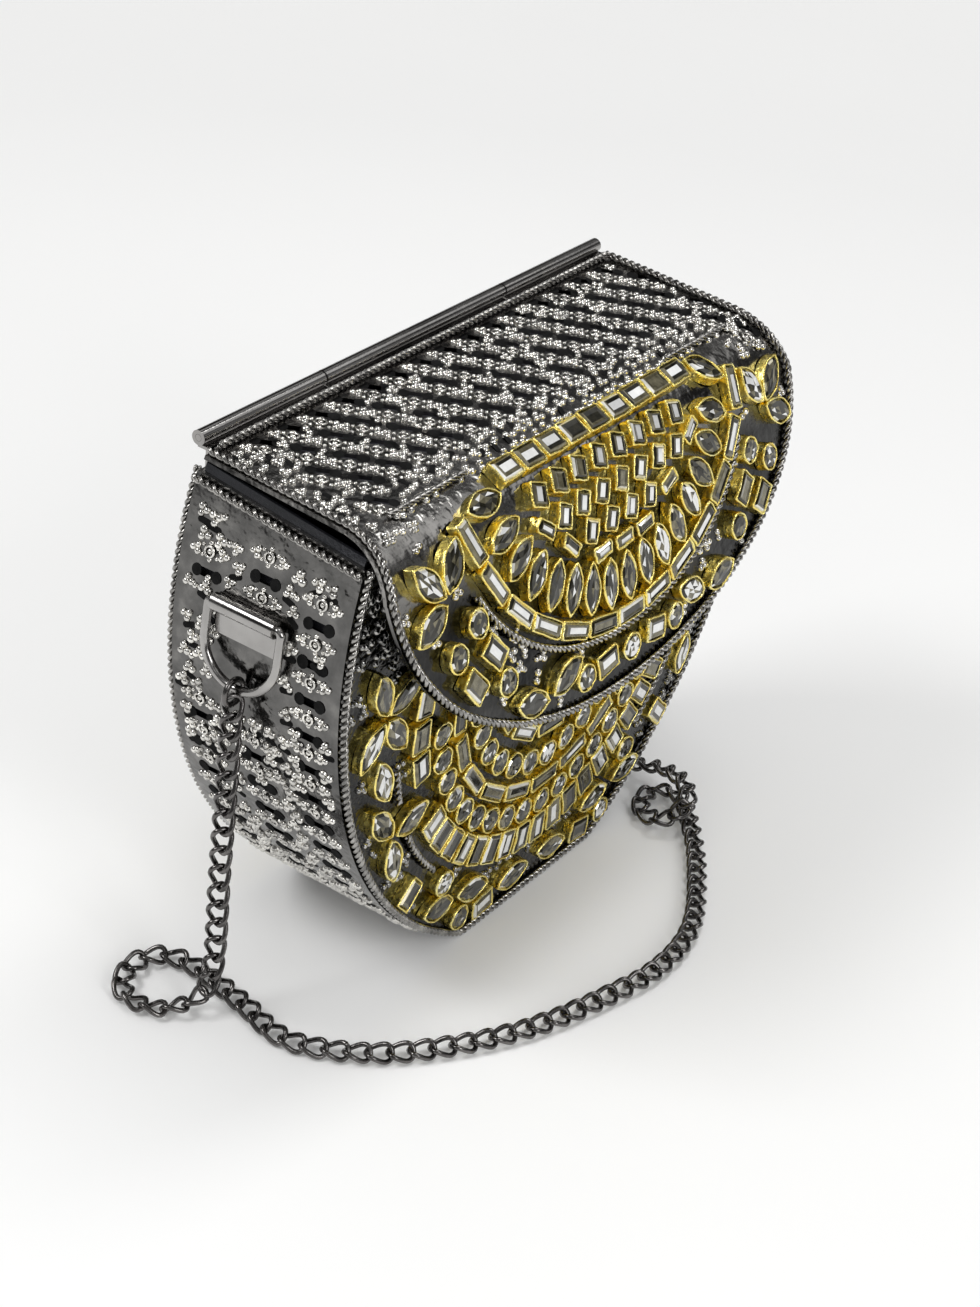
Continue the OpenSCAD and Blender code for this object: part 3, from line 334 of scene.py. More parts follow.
# Materials
class Tree:
    """Adds nodes to a material or to the world."""

    def __init__(self, owner):
        owner.use_nodes = True
        self.nodes, self.links = owner.node_tree.nodes, owner.node_tree.links

    def feed(self, node, inputs):
        """Links a node's inputs to sockets, or sets them to fixed values."""
        for name, source in inputs.items():
            if isinstance(source, bpy.types.NodeSocket):
                self.links.new(source, node.inputs[name])
            else:
                node.inputs[name].default_value = source

    def add(self, kind, inputs=None, **settings):
        """The outputs of a new node."""
        node = self.nodes.new("ShaderNode" + kind)
        for name, value in settings.items():
            setattr(node, name, value)
        self.feed(node, inputs or {})
        return node.outputs

    def noise(self, coords, scale, detail, rough=0.5):
        inputs = {"Vector": coords, "Scale": scale, "Detail": detail, "Roughness": rough}
        return self.add("TexNoise", inputs)["Fac"]

    def ramp(self, source, stops):
        """Colours by a value. A colour is red, green and blue, or one number for a grey."""
        r = self.nodes.new("ShaderNodeValToRGB")
        e = r.color_ramp.elements
        while len(e) < len(stops):
            e.new(0.5)
        for el, (pos, col) in zip(e, stops):
            el.position = pos
            el.color = (*col, 1) if hasattr(col, "__len__") else (col, col, col, 1)
        self.feed(r, {"Fac": source})
        return r.outputs["Color"]

    def mixed(self, share, one, other, way="MIX"):
        """A blend of two colours."""
        return self.add("Mix", {0: share, 6: one, 7: other}, data_type="RGBA", blend_type=way)[2]

    def bumps(self, coords, scale, strength):
        height = self.noise(coords, scale, 2.0)
        return self.add("Bump", {"Strength": strength, "Distance": 0.0004, "Height": height})["Normal"]


def new_material(name):
    m = bpy.data.materials.new(name)
    tree = Tree(m)
    return m, tree, tree.nodes["Principled BSDF"], tree.add("TexCoord")["Object"]


def finish(name, colours, scale, rough, metallic=1.0, bump=0.0, bump_scale=900.0, coat=0.0, specular=0.5):
    """A surface with drifting colour and roughness and a fine bump, all in object coordinates."""
    m, tree, bsdf, coords = new_material(name)
    tree.feed(bsdf, {
        "Base Color": tree.ramp(tree.noise(coords, scale, 4.0, 0.6), colours),
        "Roughness": tree.ramp(tree.noise(coords, scale * 1.7, 3.0), [(0.3, rough[0]), (0.7, rough[1])]),
        "Metallic": metallic, "Specular IOR Level": specular, "IOR": 1.5})
    if coat:
        tree.feed(bsdf, {"Coat Weight": coat, "Coat Roughness": 0.04})
    if bump:
        tree.feed(bsdf, {"Normal": tree.bumps(coords, bump_scale, bump)})
    return m


GUN = finish("gunmetal_sheet", [(0.3, (0.08, 0.079, 0.077)), (0.55, (0.14, 0.137, 0.133)),
                                (0.75, (0.23, 0.225, 0.215))],
             110, (0.08, 0.22), bump=0.75, bump_scale=260)
# A near-black copy of the gunmetal for the front panel: painted shade, as the panel lies under the flap.
GUN_SHADED = finish("gunmetal_painted_shade", [(0.3, 0.01), (0.7, (0.05, 0.049, 0.048))],
                  70, (0.08, 0.22), bump=0.7, bump_scale=420)
BEADS = finish("bead_metal", [(0.3, (0.42, 0.41, 0.39)), (0.7, (0.97, 0.95, 0.9))],
               260, (0.08, 0.18), bump=0.15, bump_scale=2500)
# A darker copy of the bead metal for the front's beads: painted shade under the flap.
BEADS_SHADED = finish("bead_metal_painted_shade", [(0.3, (0.12, 0.12, 0.118)), (0.7, (0.5, 0.49, 0.47))],
                    260, (0.1, 0.22), bump=0.15, bump_scale=2500)
# Near-black patches for pierced openings: painted shade of the inside seen through them, with the dark lining
# behind.
HOLE_SHADE = finish("opening_painted_shade", [(0.3, 0.004), (0.7, 0.012)], 300, (0.7, 0.9), metallic=0.0, specular=0.1)
ROPE = finish("rope_wire", [(0.3, (0.16, 0.156, 0.15)), (0.7, (0.5, 0.485, 0.46))],
              300, (0.14, 0.26), bump=0.1, bump_scale=2500)
POLISHED = finish("polished_metal", [(0.25, (0.24, 0.232, 0.225)), (0.6, (0.4, 0.39, 0.38)),
                                     (0.8, (0.5, 0.48, 0.45))], 40, (0.08, 0.22), bump=0.05)
CHAIN = finish("chain_metal", [(0.3, (0.07, 0.067, 0.065)), (0.7, (0.2, 0.19, 0.185))],
               240, (0.14, 0.28), bump=0.08, bump_scale=2000)
ENAMEL = finish("dark_enamel", [(0.3, (0.012, 0.013, 0.016)), (0.7, (0.035, 0.036, 0.042))],
                60, (0.1, 0.22), metallic=0.6, bump=0.1, coat=0.6)
GOLD = finish("brass_bezels", [(0.25, (0.85, 0.62, 0.14)), (0.5, (1.0, 0.83, 0.25)),
                               (0.75, (1.0, 0.95, 0.5))],
              330, (0.18, 0.34), bump=0.55, bump_scale=1100)
# A slightly darker copy of the brass for the bezels' lower outer walls, with a rougher, more hammered finish:
# the darkness is painted shade by the ground.
GOLD_SIDE_SHADED = finish("brass_sides_painted_shade", [(0.25, (0.78, 0.57, 0.1)), (0.5, (1.0, 0.82, 0.22)),
                                   (0.75, (1.0, 0.94, 0.44))],
                   330, (0.2, 0.36), bump=0.7, bump_scale=900)
# Bright, middle and dark copies of the glass, each put on single facets: the bright one is painted highlight
# and reflection on pale glass, the dark one painted shade on dark glass and foil, and the middle one is the
# olive glass with some painted light.
GLASS_PALE_AND_HIGHLIGHT = finish("glass_pale_and_painted_highlight", [(0.3, (0.8, 0.81, 0.8)), (0.7, (0.97, 0.97, 0.95))],
                      500, (0.03, 0.1), metallic=0.3, coat=1.0)
GLASS_MID = finish("glass_mid", [(0.3, (0.09, 0.08, 0.045)), (0.7, (0.27, 0.245, 0.16))],
                   500, (0.04, 0.12), metallic=0.5, coat=0.5)
GLASS_DARK_AND_SHADED = finish("glass_dark_and_painted_shade", [(0.3, (0.006, 0.006, 0.004)), (0.7, (0.04, 0.037, 0.024))],
                    500, (0.04, 0.1), metallic=0.3, coat=0.3)
CLOTH = finish("lining_cloth", [(0.3, (0.012, 0.012, 0.016)), (0.7, (0.04, 0.04, 0.05))],
               300, (0.85, 0.97), metallic=0.0, bump=0.6, bump_scale=3000)
MAGNET = finish("magnet_metal", [(0.3, (0.4, 0.4, 0.41)), (0.7, 0.55)], 200, (0.25, 0.4))


def lid_material():
    """Mid-grey on the flat top and near black below the fold, whose heights are in metres: the dark below the
    fold is painted shade among the flap's stones.
    """
    m, tree, bsdf, coords = new_material("lid_sheet")
    cloud = tree.noise(coords, 45, 4.0, 0.6)
    top = tree.ramp(cloud, [(0.3, (0.13, 0.127, 0.123)), (0.55, (0.27, 0.263, 0.252)),
                            (0.75, (0.48, 0.465, 0.445))])
    # Painted shade: the sheet below the fold, where the flap's stones stand, is made near black.
    low = tree.ramp(cloud, [(0.35, 0.01), (0.7, (0.065, 0.064, 0.062))])
    height = tree.add("SeparateXYZ", {"Vector": coords})["Z"]
    fold = tree.add("MapRange", {"From Min": 0.126, "From Max": 0.142, "Value": height})["Result"]
    tree.feed(bsdf, {"Base Color": tree.mixed(fold, low, top), "Metallic": 1.0,
                     "Roughness": tree.ramp(tree.noise(coords, 80, 3.0), [(0.3, 0.1), (0.7, 0.26)]),
                     "Normal": tree.bumps(coords, 260, 0.75)})
    return m


CAD_LOOK = {
    "front_panel": GUN_SHADED, "mouth_collar": ENAMEL, "case_lining": CLOTH, "lid_lining": CLOTH,
    "left_ring_tab": POLISHED, "right_ring_tab": POLISHED, "left_ring": POLISHED, "right_ring": POLISHED,
    "case_hinge": POLISHED, "hinge_pin": POLISHED, "lid_hinge": POLISHED, "lid_shell": lid_material(),
    "case_magnet": MAGNET, "lid_magnet": MAGNET, "left_link_ring": CHAIN, "right_link_ring": CHAIN,
}
for node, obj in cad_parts.items():
    obj.data.materials.clear()
    obj.data.materials.append(CAD_LOOK.get(node, GUN))

# Camera: focal length and rows in the photo's pixels, its own directions, and its place in millimetres
FOCAL, PHOTO_ROWS, SENSOR = 2619.0, 1307, 36.0
RIGHT = Vector((0.576356, -0.810209, 0.106655))
DOWN = Vector((-0.379373, -0.380874, -0.843215))
AHEAD = Vector((0.723802, 0.44553, -0.52689))
EYE = Vector((-527.11, -330.57 + Y_SHIFT, 452.99))


def add_camera():
    data = bpy.data.cameras.new("camera")
    data.sensor_fit = "VERTICAL"
    data.sensor_height = SENSOR
    data.lens = FOCAL / PHOTO_ROWS * SENSOR
    data.clip_start, data.clip_end = 0.02, 60
    camera = new_object("camera", data)
    camera.matrix_world = (Matrix.Translation(EYE * MM)
                           @ Matrix((RIGHT, -DOWN, -AHEAD)).transposed().to_4x4())
    bpy.context.scene.camera = camera
    bpy.context.scene.view_settings.view_transform = "Standard"


# Floor and light, in metres
FLOOR_HALF = 4.0
SKY = (0.93, 0.93, 0.92, 1)
SOFT_BANDS = [(0.0, 0.4), (0.5, 0.4), (0.6, 0.62), (1.0, 0.62)]
MIRRORED_BANDS = [(0.0, 0.5), (0.5, 0.12), (0.56, 1.0), (0.66, 1.0), (0.72, 0.12), (0.82, 0.2), (0.9, 1.0),
                  (1.0, 1.0)]


def floor_material():
    """Pale paper that glows faintly when it is seen, more so far away from the bag."""
    m, tree, bsdf, coords = new_material("floor_paper")
    paper = tree.ramp(tree.noise(coords, 3.0, 4.0), [(0.3, (0.885, 0.885, 0.88)), (0.7, (0.905, 0.905, 0.9))])
    rays = tree.add("LightPath")
    seen = tree.add("Math", {0: rays["Is Camera Ray"], 1: rays["Is Glossy Ray"]}, operation="MAXIMUM")[0]
    away = tree.add("VectorMath", {0: coords}, operation="LENGTH")["Value"]
    glow = tree.add("MapRange", {"From Min": 0.6, "From Max": 3.4, "To Min": 0.065, "To Max": 0.8,
                                 "Value": away})["Result"]
    tree.feed(bsdf, {"Base Color": paper, "Roughness": 0.55, "Specular IOR Level": 0.3,
                     "Emission Color": (1, 1, 0.98, 1),
                     "Emission Strength": tree.add("Math", {0: seen, 1: glow}, operation="MULTIPLY")[0]})
    return m


def add_floor():
    mesh = bpy.data.meshes.new("floor")
    corners = [(x * FLOOR_HALF, y * FLOOR_HALF, 0) for x, y in ((-1, -1), (1, -1), (1, 1), (-1, 1))]
    mesh.from_pydata(corners, [], [(0, 1, 2, 3)])
    mesh.materials.append(floor_material())
    new_object("floor", mesh)


def lamp(name, at, to, size, power):
    data = bpy.data.lights.new(name, "AREA")
    data.shape = "RECTANGLE"
    data.size, data.size_y = size
    data.energy = power
    light = new_object(name, data)
    light.location = at
    light.rotation_euler = (Vector(to) - Vector(at)).to_track_quat("-Z", "Y").to_euler()


def studio_light(tree, heights, patches, size, share):
    """Bands of light by height, broken into patches."""
    coords = tree.add("TexCoord")["Generated"]
    band = tree.ramp(tree.add("SeparateXYZ", {"Vector": coords})["Z"], heights)
    patch = tree.ramp(tree.noise(coords, size, 1.0), patches)
    return tree.mixed(share, band, patch, "MULTIPLY")


def add_studio():
    """Gentle bands of light on what is lit, strong ones in what is mirrored, and a plain pale sky behind."""
    world = bpy.data.worlds.new("studio")
    bpy.context.scene.world = world
    tree = Tree(world)
    soft = studio_light(tree, SOFT_BANDS, [(0.4, 0.7), (0.6, 1.0)], 2.2, 1.0)
    mirrored = studio_light(tree, MIRRORED_BANDS, [(0.44, 0.05), (0.53, 1.0)], 2.6, 0.92)
    rays = tree.add("LightPath")
    colour = tree.mixed(rays["Is Camera Ray"], tree.mixed(rays["Is Glossy Ray"], soft, mirrored), SKY)
    tree.feed(tree.nodes["Background"], {"Color": colour, "Strength": 1.0})


add_camera()
add_floor()
lamp("key_left", (-0.9, 0.75, 1.35), (0, 0, 0.08), (0.7, 0.5), 11)
lamp("fill_front", (-0.5, -1.5, 1.0), (0, 0, 0.08), (0.5, 0.9), 8.5)
lamp("top_strip", (0.5, -0.1, 1.5), (0, 0, 0.1), (0.35, 1.1), 6)
add_studio()

# Chain strap
LINK_HANG = LINK_RING_R - LINK_RING_WIRE - RING_WIRE - LINK_PLAY
AXIS_X = side_x(RING_H) + RING_BARREL_R + GAP
LINK_X = AXIS_X + (RING_ARM + RING_HALF) * sin(RING_REST) + LINK_HANG * cos(LINK_LEAN)
LINK_Z = RING_H - (RING_ARM + RING_HALF) * cos(RING_REST) - LINK_HANG * sin(LINK_LEAN)
CHAIN_TOP = LINK_Z - LINK_RING_R - LINK_R + LINK_RING_WIRE + LINK_WIRE + LINK_PLAY
CHAIN_LIE, CHAIN_DRIFT, CHAIN_CUTS = 3.9, 1.5, 24
CHAIN_REST, CHAIN_CLIMB = 2.6, 7.0
LINK_HALF, LINK_WIDE, LINK_BOW, LINK_PITCH = 3.5, 2.4, 1.1, 5.75
LINK_TILT, LINK_SWAY, FLOOR_CLEAR = 12, 9, 0.02
UPWARDS, OUTWARDS = np.array([0, 0, 1.0]), np.array([-0.85, -0.53, 0.0])
# Stops on the floor: X, Y and how far the chain lies on itself
CHAIN_FLOOR = [
    (-109.6, 6.6, 0.15), (-116, 13, 0), (-115.5, 23, 0), (-107, 28, 0), (-98, 26, 0), (-95, 16, 0),
    (-98, -4, 0), (-101.5, -22, 0), (-91, -41, 0), (-74.5, -55, 0), (-54, -66.5, 0), (-31, -74, 0),
    (-8, -78.5, 0), (14, -75.5, 0), (38, -62.5, 0), (55, -50, 0), (67, -38, 0), (62, -30.5, 0),
    (52, -34, 0), (50, -43, 0.3), (57, -46.5, 0.9), (64, -40, 1.1), (68, -30, 0.8), (68, -16, 0.2),
    (66, 8, 0), (70, 24, 0), (79, 18, 0), (80, 0, 0), (88, -8, 0), (94, 2, 0), (93, 18, 0), (101, 24, 0),
    (108, 16, 0)]


def chain_path():
    """The chain's route from the left link ring over the floor to the right one."""
    stops = [(-LINK_X, RING_BACK, CHAIN_TOP + LINK_R), (-LINK_X, RING_BACK, CHAIN_TOP),
             (-LINK_X - CHAIN_DRIFT / 2, RING_BACK, CHAIN_TOP / 2),
             (-LINK_X - CHAIN_DRIFT, RING_BACK, 3 * CHAIN_LIE)]
    stops += [(x, y, CHAIN_REST + up * CHAIN_CLIMB) for x, y, up in CHAIN_FLOOR]
    stops += [(LINK_X, RING_BACK, z) for z in (3 * CHAIN_LIE, CHAIN_TOP / 2, CHAIN_TOP, CHAIN_TOP + LINK_R)]
    p = np.array(stops, float)
    out = []
    for i in range(1, len(p) - 2):
        a, b, c, d = p[i - 1:i + 3]
        for t in np.arange(CHAIN_CUTS) / CHAIN_CUTS:
            out.append(((-a + 3 * b - 3 * c + d) * t ** 3 + (2 * a - 5 * b + 4 * c - d) * t ** 2
                        + (c - a) * t + 2 * b) / 2)
    out.append(p[-2])
    return np.array(out) + [0, Y_SHIFT, 0]


def curb_link(points=26, sides=8):
    """One flat twisted link of a curb chain, lying in its own XY plane along X."""
    t = round_angles(points)
    line = np.stack([LINK_HALF * np.cos(t), LINK_WIDE * np.sin(t) * (1 + 0.12 * np.cos(t) ** 2),
                     LINK_BOW * np.sin(2 * t)], 1)
    way = np.stack([-LINK_HALF * np.sin(t), LINK_WIDE * np.cos(t), 2 * LINK_BOW * np.cos(2 * t)], 1)
    way /= np.linalg.norm(way, axis=1)[:, None]
    out = line * [1, 1, 0]
    out = out - (out * way).sum(1)[:, None] * way
    out /= np.linalg.norm(out, axis=1)[:, None]
    return wire_rings(line, out, np.cross(way, out), LINK_WIRE, sides), [grid_faces(points, sides, True)]


def smoothed(path, window=13):
    """The path with its corners eased."""
    weights = np.hanning(window)
    ease = weights[1:-1] / weights.sum()
    edge = len(ease) // 2
    padded = np.pad(path, ((edge, edge), (0, 0)), mode="reflect", reflect_type="odd")
    return np.stack([np.convolve(padded[:, k], ease, "valid") for k in range(3)], 1)


def chain_piece():
    """Curb links along the route, flat on the floor and facing outwards where the chain hangs."""
    line, dist = evenly(smoothed(evenly(chain_path(), 1.0)[0]), 1.0)
    total = dist[-1]
    count = int(round(total / LINK_PITCH))
    step = total / count
    points, faces = curb_link()
    pile = Pile()

    def at(d):
        return np.array([np.interp(d, dist, line[:, k]) for k in range(3)])

    for k in range(count + 1):
        d = k * step
        way = at(min(total, d + step * 0.5)) - at(max(0, d - step * 0.5))
        way /= np.linalg.norm(way)
        hanging = min(1, max(0, (abs(way[2]) - 0.5) / 0.4))
        up = (1 - hanging) * UPWARDS + hanging * OUTWARDS
        up -= (up @ way) * way
        up /= np.linalg.norm(up)
        across = np.cross(up, way)
        tilt = math.radians(sway(LINK_SWAY) + LINK_TILT)
        across, up = (across * math.cos(tilt) + up * math.sin(tilt),
                      up * math.cos(tilt) - across * math.sin(tilt))
        place = np.eye(4)
        place[:3] = np.stack([way, across, up, at(d)], 1)
        low = (points @ place[:3, :3].T + place[:3, 3])[:, 2].min()
        if low < FLOOR_CLEAR:
            place[2, 3] += FLOOR_CLEAR - low
        pile.add(points, faces, 0, place)
    obj = pile.build("strap_chain", [CHAIN], "case", "chain_metal",
                     ["chain_left_hang", "chain_floor_one", "chain_floor_two", "chain_floor_three",
                      "chain_floor_four", "chain_right_hang"])
    [tuple(p * MM) for p in line]


chain_piece()


# Layout of the stones, as in the part's source: X, way along the lid or height, and turn
def both(places):
    return places + [(-x, z, 180 - t) for x, z, t in places]


def raised(places):
    """Places that are measured from the fan's centre, on both sides."""
    return both([(x, FAN_H + z, t) for x, z, t in places])


def arc_angle(wide, deep, along):
    """Angle at which an ellipse has the length along, from its lowest point."""
    cuts = 60
    t = [0.0]
    for n in range(1, cuts + 1):
        mid = math.radians(90 * (n - 0.5) / cuts)
        t.append(t[-1] + math.hypot(wide * math.cos(mid), deep * math.sin(mid)) * math.pi / 2 / cuts)
    a = np.interp(abs(along), t, [90 * i / cuts for i in range(cuts + 1)])
    return math.copysign(a, along)


def arc_places(arc, pitch, half_count, along):
    """Places on an ellipse of the flap, with the stones along it or across it."""
    out = []
    for k in range(-half_count, half_count + 1):
        t = arc_angle(*arc, k * pitch)
        turn = (math.atan2(arc[1] * sin(t), arc[0] * cos(t)) if along
                else math.atan2(-arc[0] * cos(t), arc[1] * sin(t)))
        out.append((arc[0] * sin(t), ROW_REACH + arc[1] * cos(t), math.degrees(turn)))
    return out


FLAP_FLOWERS = ((-75.2, 71.8, (133, 58, 207)), (-38.2, 113.2, (166, 23)))
FLAP_ROUNDS = [(-65.4, 81.6, 0), (-75, 87, 0), (-56.4, 100.9, 0), (-21.9, 114.2, 0)]
flap = {
    "brick": [(i * ROW_PITCH + ROW_SHIFT, ROW_REACH, 0) for i in range(-4, 5)]
    + both([(-60.4, 91.2, -50), (-69.6, 96.6, -50), (-11.8, 113.9, 10)]),
    "tile": [(-31.6, 61.2, 66), (-22.4, 60.7, 68), (-13.2, 60.5, 68), (-4, 60.4, 68), (5.2, 60.4, 68),
             (14.4, 60.4, 68), (23.6, 60.4, 72), (32.8, 60.6, 74), (-24.2, 68.9, 66), (-15.7, 68.3, 68),
             (-6.6, 68.2, 68), (2.5, 68.2, 68), (11.6, 68.2, 68), (20.6, 68.2, 72), (29.4, 68.4, 74),
             (-14, 76.5, 68), (-4.6, 76.5, 68), (4.8, 76.5, 68), (13.9, 76.5, 70)],
    "short": [(-32.6, 69.2, -38), (-23.4, 77, -46), (23.8, 76.2, 24), (-10.2, 83.4, 7), (0, 83.6, 4),
              (10.1, 83.2, 8), (37.3, 66.5, 40)],
    "bar": arc_places(BAR_ARC, SIZES["bar"][0] + 0.7, 6, True),
    "leaf": [(-51.3, 56.6, 2), (54.2, 55.2, -42)] + arc_places(LEAF_ARC, SIZES["leaf"][1] + 1.4, 7, False),
    "petal": both([(x + PETAL_REACH * cos(a), s - PETAL_REACH * sin(a), a)
                   for x, s, turns in FLAP_FLOWERS for a in turns]),
    "round": both(FLAP_ROUNDS) + [(0, FLAP_MID_ROUND, 0)],
}


def fan(radius, pitch, count, inner=0.0, skip=()):
    """Places on an arc round the fan's centre, with their pitch at the radius less inner."""
    step = math.degrees(pitch / (radius - inner))
    out = []
    for k in range(count):
        if k not in skip:
            a = 270 + (k - (count - 1) / 2) * step
            out.append((radius * cos(a), FAN_H + radius * sin(a), a + 90))
    return out


BRICK_GAP, FAN_BAR_PITCH, ROUND_PITCH = 0.4, 13.3, SIZES["round"][0] + 0.9
BRICK_LONG, BRICK_WIDE = SIZES["brick"]
FAN_BAR_IN = SIZES["bar"][1] / 2
FRONT_FLOWERS = ((-80.6, 10.5, (108, 30, 306, 230)), (-72.6, -30, (130, 14, 278)),
                 (-38.5, -68.8, (172, 352)))
FRONT_ROUNDS = [(-45.2, -59.8, 0), (-35.4, -77, 0)]
front = {
    "brick": fan(FAN_R, BRICK_LONG + BRICK_GAP, 22, BRICK_WIDE / 2, range(3, 19))
    + [(x, z, t + 90) for x, z, t in fan(FAN_R, BRICK_WIDE + BRICK_GAP, 17, BRICK_LONG / 2)]
    + raised([(-61.6, -54.5, 42), (-24.2, -78.4, 10)]),
    "bar": fan(47.3, FAN_BAR_PITCH, 11, FAN_BAR_IN) + fan(29, FAN_BAR_PITCH, 7, FAN_BAR_IN),
    "round": fan(55.3, ROUND_PITCH, 19) + fan(39, ROUND_PITCH, 13) + fan(20, ROUND_PITCH, 6)
    + [(0, FAN_H - 10, 0)] + raised(FRONT_ROUNDS),
    "petal": raised([(x + PETAL_REACH * cos(a), z + PETAL_REACH * sin(a), a)
                     for x, z, turns in FRONT_FLOWERS for a in turns]
                    + [(-79.5, -9.2, 110), (-9.6, -76.6, 8)]),
}
back = {"brick": front["brick"], "petal": front["petal"], "round": raised(FRONT_ROUNDS)}

# Bezels and stones
CORNER_R, CORNER_CUTS, SIDE_CUTS, LENS_POINTS, ROUND_POINTS = 0.75, 4, 5, 13, 24


def form_outline(kind, inset):
    """Points around a stone's outline in its own plane, anticlockwise."""
    long, wide = SIZES[kind]
    a, b = long / 2 - inset, wide / 2 - inset
    if kind == "round":
        t = round_angles(ROUND_POINTS)
        return np.stack([a * np.cos(t), a * np.sin(t)], 1)
    if kind in ("brick", "bar", "short", "tile"):
        r = max(0.12, CORNER_R - inset * 0.8)
        centres = ((a - r, b - r, 0), (-a + r, b - r, 90), (-a + r, -b + r, 180), (a - r, -b + r, 270))
        corners = [np.array([(x + r * cos(start + 30 * k), y + r * sin(start + 30 * k))
                             for k in range(CORNER_CUTS)]) for x, y, start in centres]
        out = []
        for corner, following in zip(corners, corners[1:] + corners[:1]):
            out += list(corner)
            # Points along the straight side, so that the hand-made wall can waver
            out += [corner[-1] + (following[0] - corner[-1]) * k / SIDE_CUTS for k in range(1, SIDE_CUTS)]
        return np.array(out)
    lens_r = (long ** 2 + wide ** 2) / (4 * wide)
    off = lens_r - wide / 2
    bow = lens_r - inset
    half = math.sqrt(max(0.01, bow ** 2 - off ** 2))
    x = half * np.cos(np.linspace(0, math.pi, LENS_POINTS))
    top = np.stack([x, np.sqrt(np.maximum(0, bow ** 2 - x ** 2)) - off], 1)
    return np.concatenate([top[:-1], -top[:-1]])


def profile(tall):
    """Inset and height of the bezel's wall, from its foot outside to its lip inside."""
    return [(-0.12, 0.0), (-0.05, 0.3 * tall), (0.04, 0.6 * tall), (-0.05, tall - 0.5), (0.03, tall - 0.12),
            (0.2, tall + 0.07), (0.4, tall + 0.05), (0.5, tall - 0.12), (0.55, tall - 0.6)]


def ripple(n, waves):
    """A sum of waves round n points, given by their height and number, with random phases."""
    return sum(high * np.sin(count * round_angles(n) + rng.uniform(0, 6.283)) for high, count in waves)


def bezel(pile, kind, place, tall):
    """A hand-made wall round a stone, wavering in its plane and in its height."""
    n = len(form_outline(kind, 0))
    wave = ripple(n, ((0.09, 3), (0.07, 7), (0.05, 11)))
    lift = ripple(n, ((0.1, 2), (0.08, 5), (0.05, 9)))
    rows = []
    for inset, z in profile(tall):
        pts = form_outline(kind, max(inset, 0.0))
        if inset < 0:
            pts = pts * (1 - inset / (SIZES[kind][1] / 2))
        share = min(1.0, z / (tall - 0.5))
        pts = pts + pts / np.linalg.norm(pts, axis=1)[:, None] * (wave * share)[:, None]
        rows.append(np.column_stack([pts, np.broadcast_to(z + lift * share * (z > tall / 2), n)]))
    faces = grid_faces(len(rows), n)
    # The lower three rows of the wall take the darker brass of the sides, painted shade by the ground.
    pile.add(np.concatenate(rows), [faces], [np.where(np.arange(len(faces)) // n < 3, 1, 0)], place)


def step_stone(pile, kind, place, lift):
    """Step-cut rectangular glass over foil: a bevel, a table and the paler rectangle seen inside it, its
    facets given painted highlights, reflections and shade by the bright, middle and dark glass.
    """
    long, wide = SIZES[kind]
    a, b = long / 2 - 0.5, wide / 2 - 0.5
    tip, tilt = sway(0.12), sway(0.12)
    sx, sy = sway(0.12) * a, sway(0.12) * b
    rows = [(a, b, 3.4, 0, 0), (a - 0.75, b - 0.75, 4.28, 0, 0), (a - 1.0, b - 0.95, 4.36, 0, 0),
            (a * 0.66, b * 0.38, 4.12, sx, sy)]
    v = []
    for ra, rb, z, ox, oy in rows:
        for px, py in ((ra, rb), (-ra, rb), (-ra, -rb), (ra, -rb)):
            v.append((px + ox, py + oy, z + lift + (tip * px / a + tilt * py / b) * (0.4 if z > 4 else 0)))
    bevel = [rng.choice((0, 1, 1, 2, 2)) for _ in range(4)]
    inner = [rng.choice((1, 1, 2, 2, 2)) for _ in range(4)]
    table = rng.choice((1, 2)) if rng.random() < DARK_TABLES else 0
    faces = np.concatenate([grid_faces(4, 4), [(12, 13, 14, 15)]])
    pile.add(v, [faces], [np.array(bevel + [1] * 4 + inner + [table])], place)


def joined_rings(outer, core, long, wide):
    """Triangles between two rings of points, by walking round both. The core's come after two outer rings."""
    n, core_n = len(outer), len(core)
    outer_a = np.unwrap(np.arctan2(outer[:, 1] / wide, outer[:, 0] / long))
    core_a = np.unwrap(np.arctan2(core[:, 1] / wide, core[:, 0] / long))
    apart = [abs(((a - outer_a[0] + math.pi) % (2 * math.pi)) - math.pi) for a in core_a]
    start = int(np.argmin(apart))
    out = []
    i = j = 0
    while i < n or j < core_n:
        ai = outer_a[0] + 2 * math.pi * (i + 0.5) / n
        aj = outer_a[0] + 2 * math.pi * (j + 0.5) / core_n
        pi, pj = n + i % n, 2 * n + (start + j) % core_n
        if j >= core_n or (i < n and ai <= aj):
            out.append((pi, n + (i + 1) % n, pj))
            i += 1
        else:
            out.append((pi, 2 * n + (start + j + 1) % core_n, pj))
            j += 1
    return out


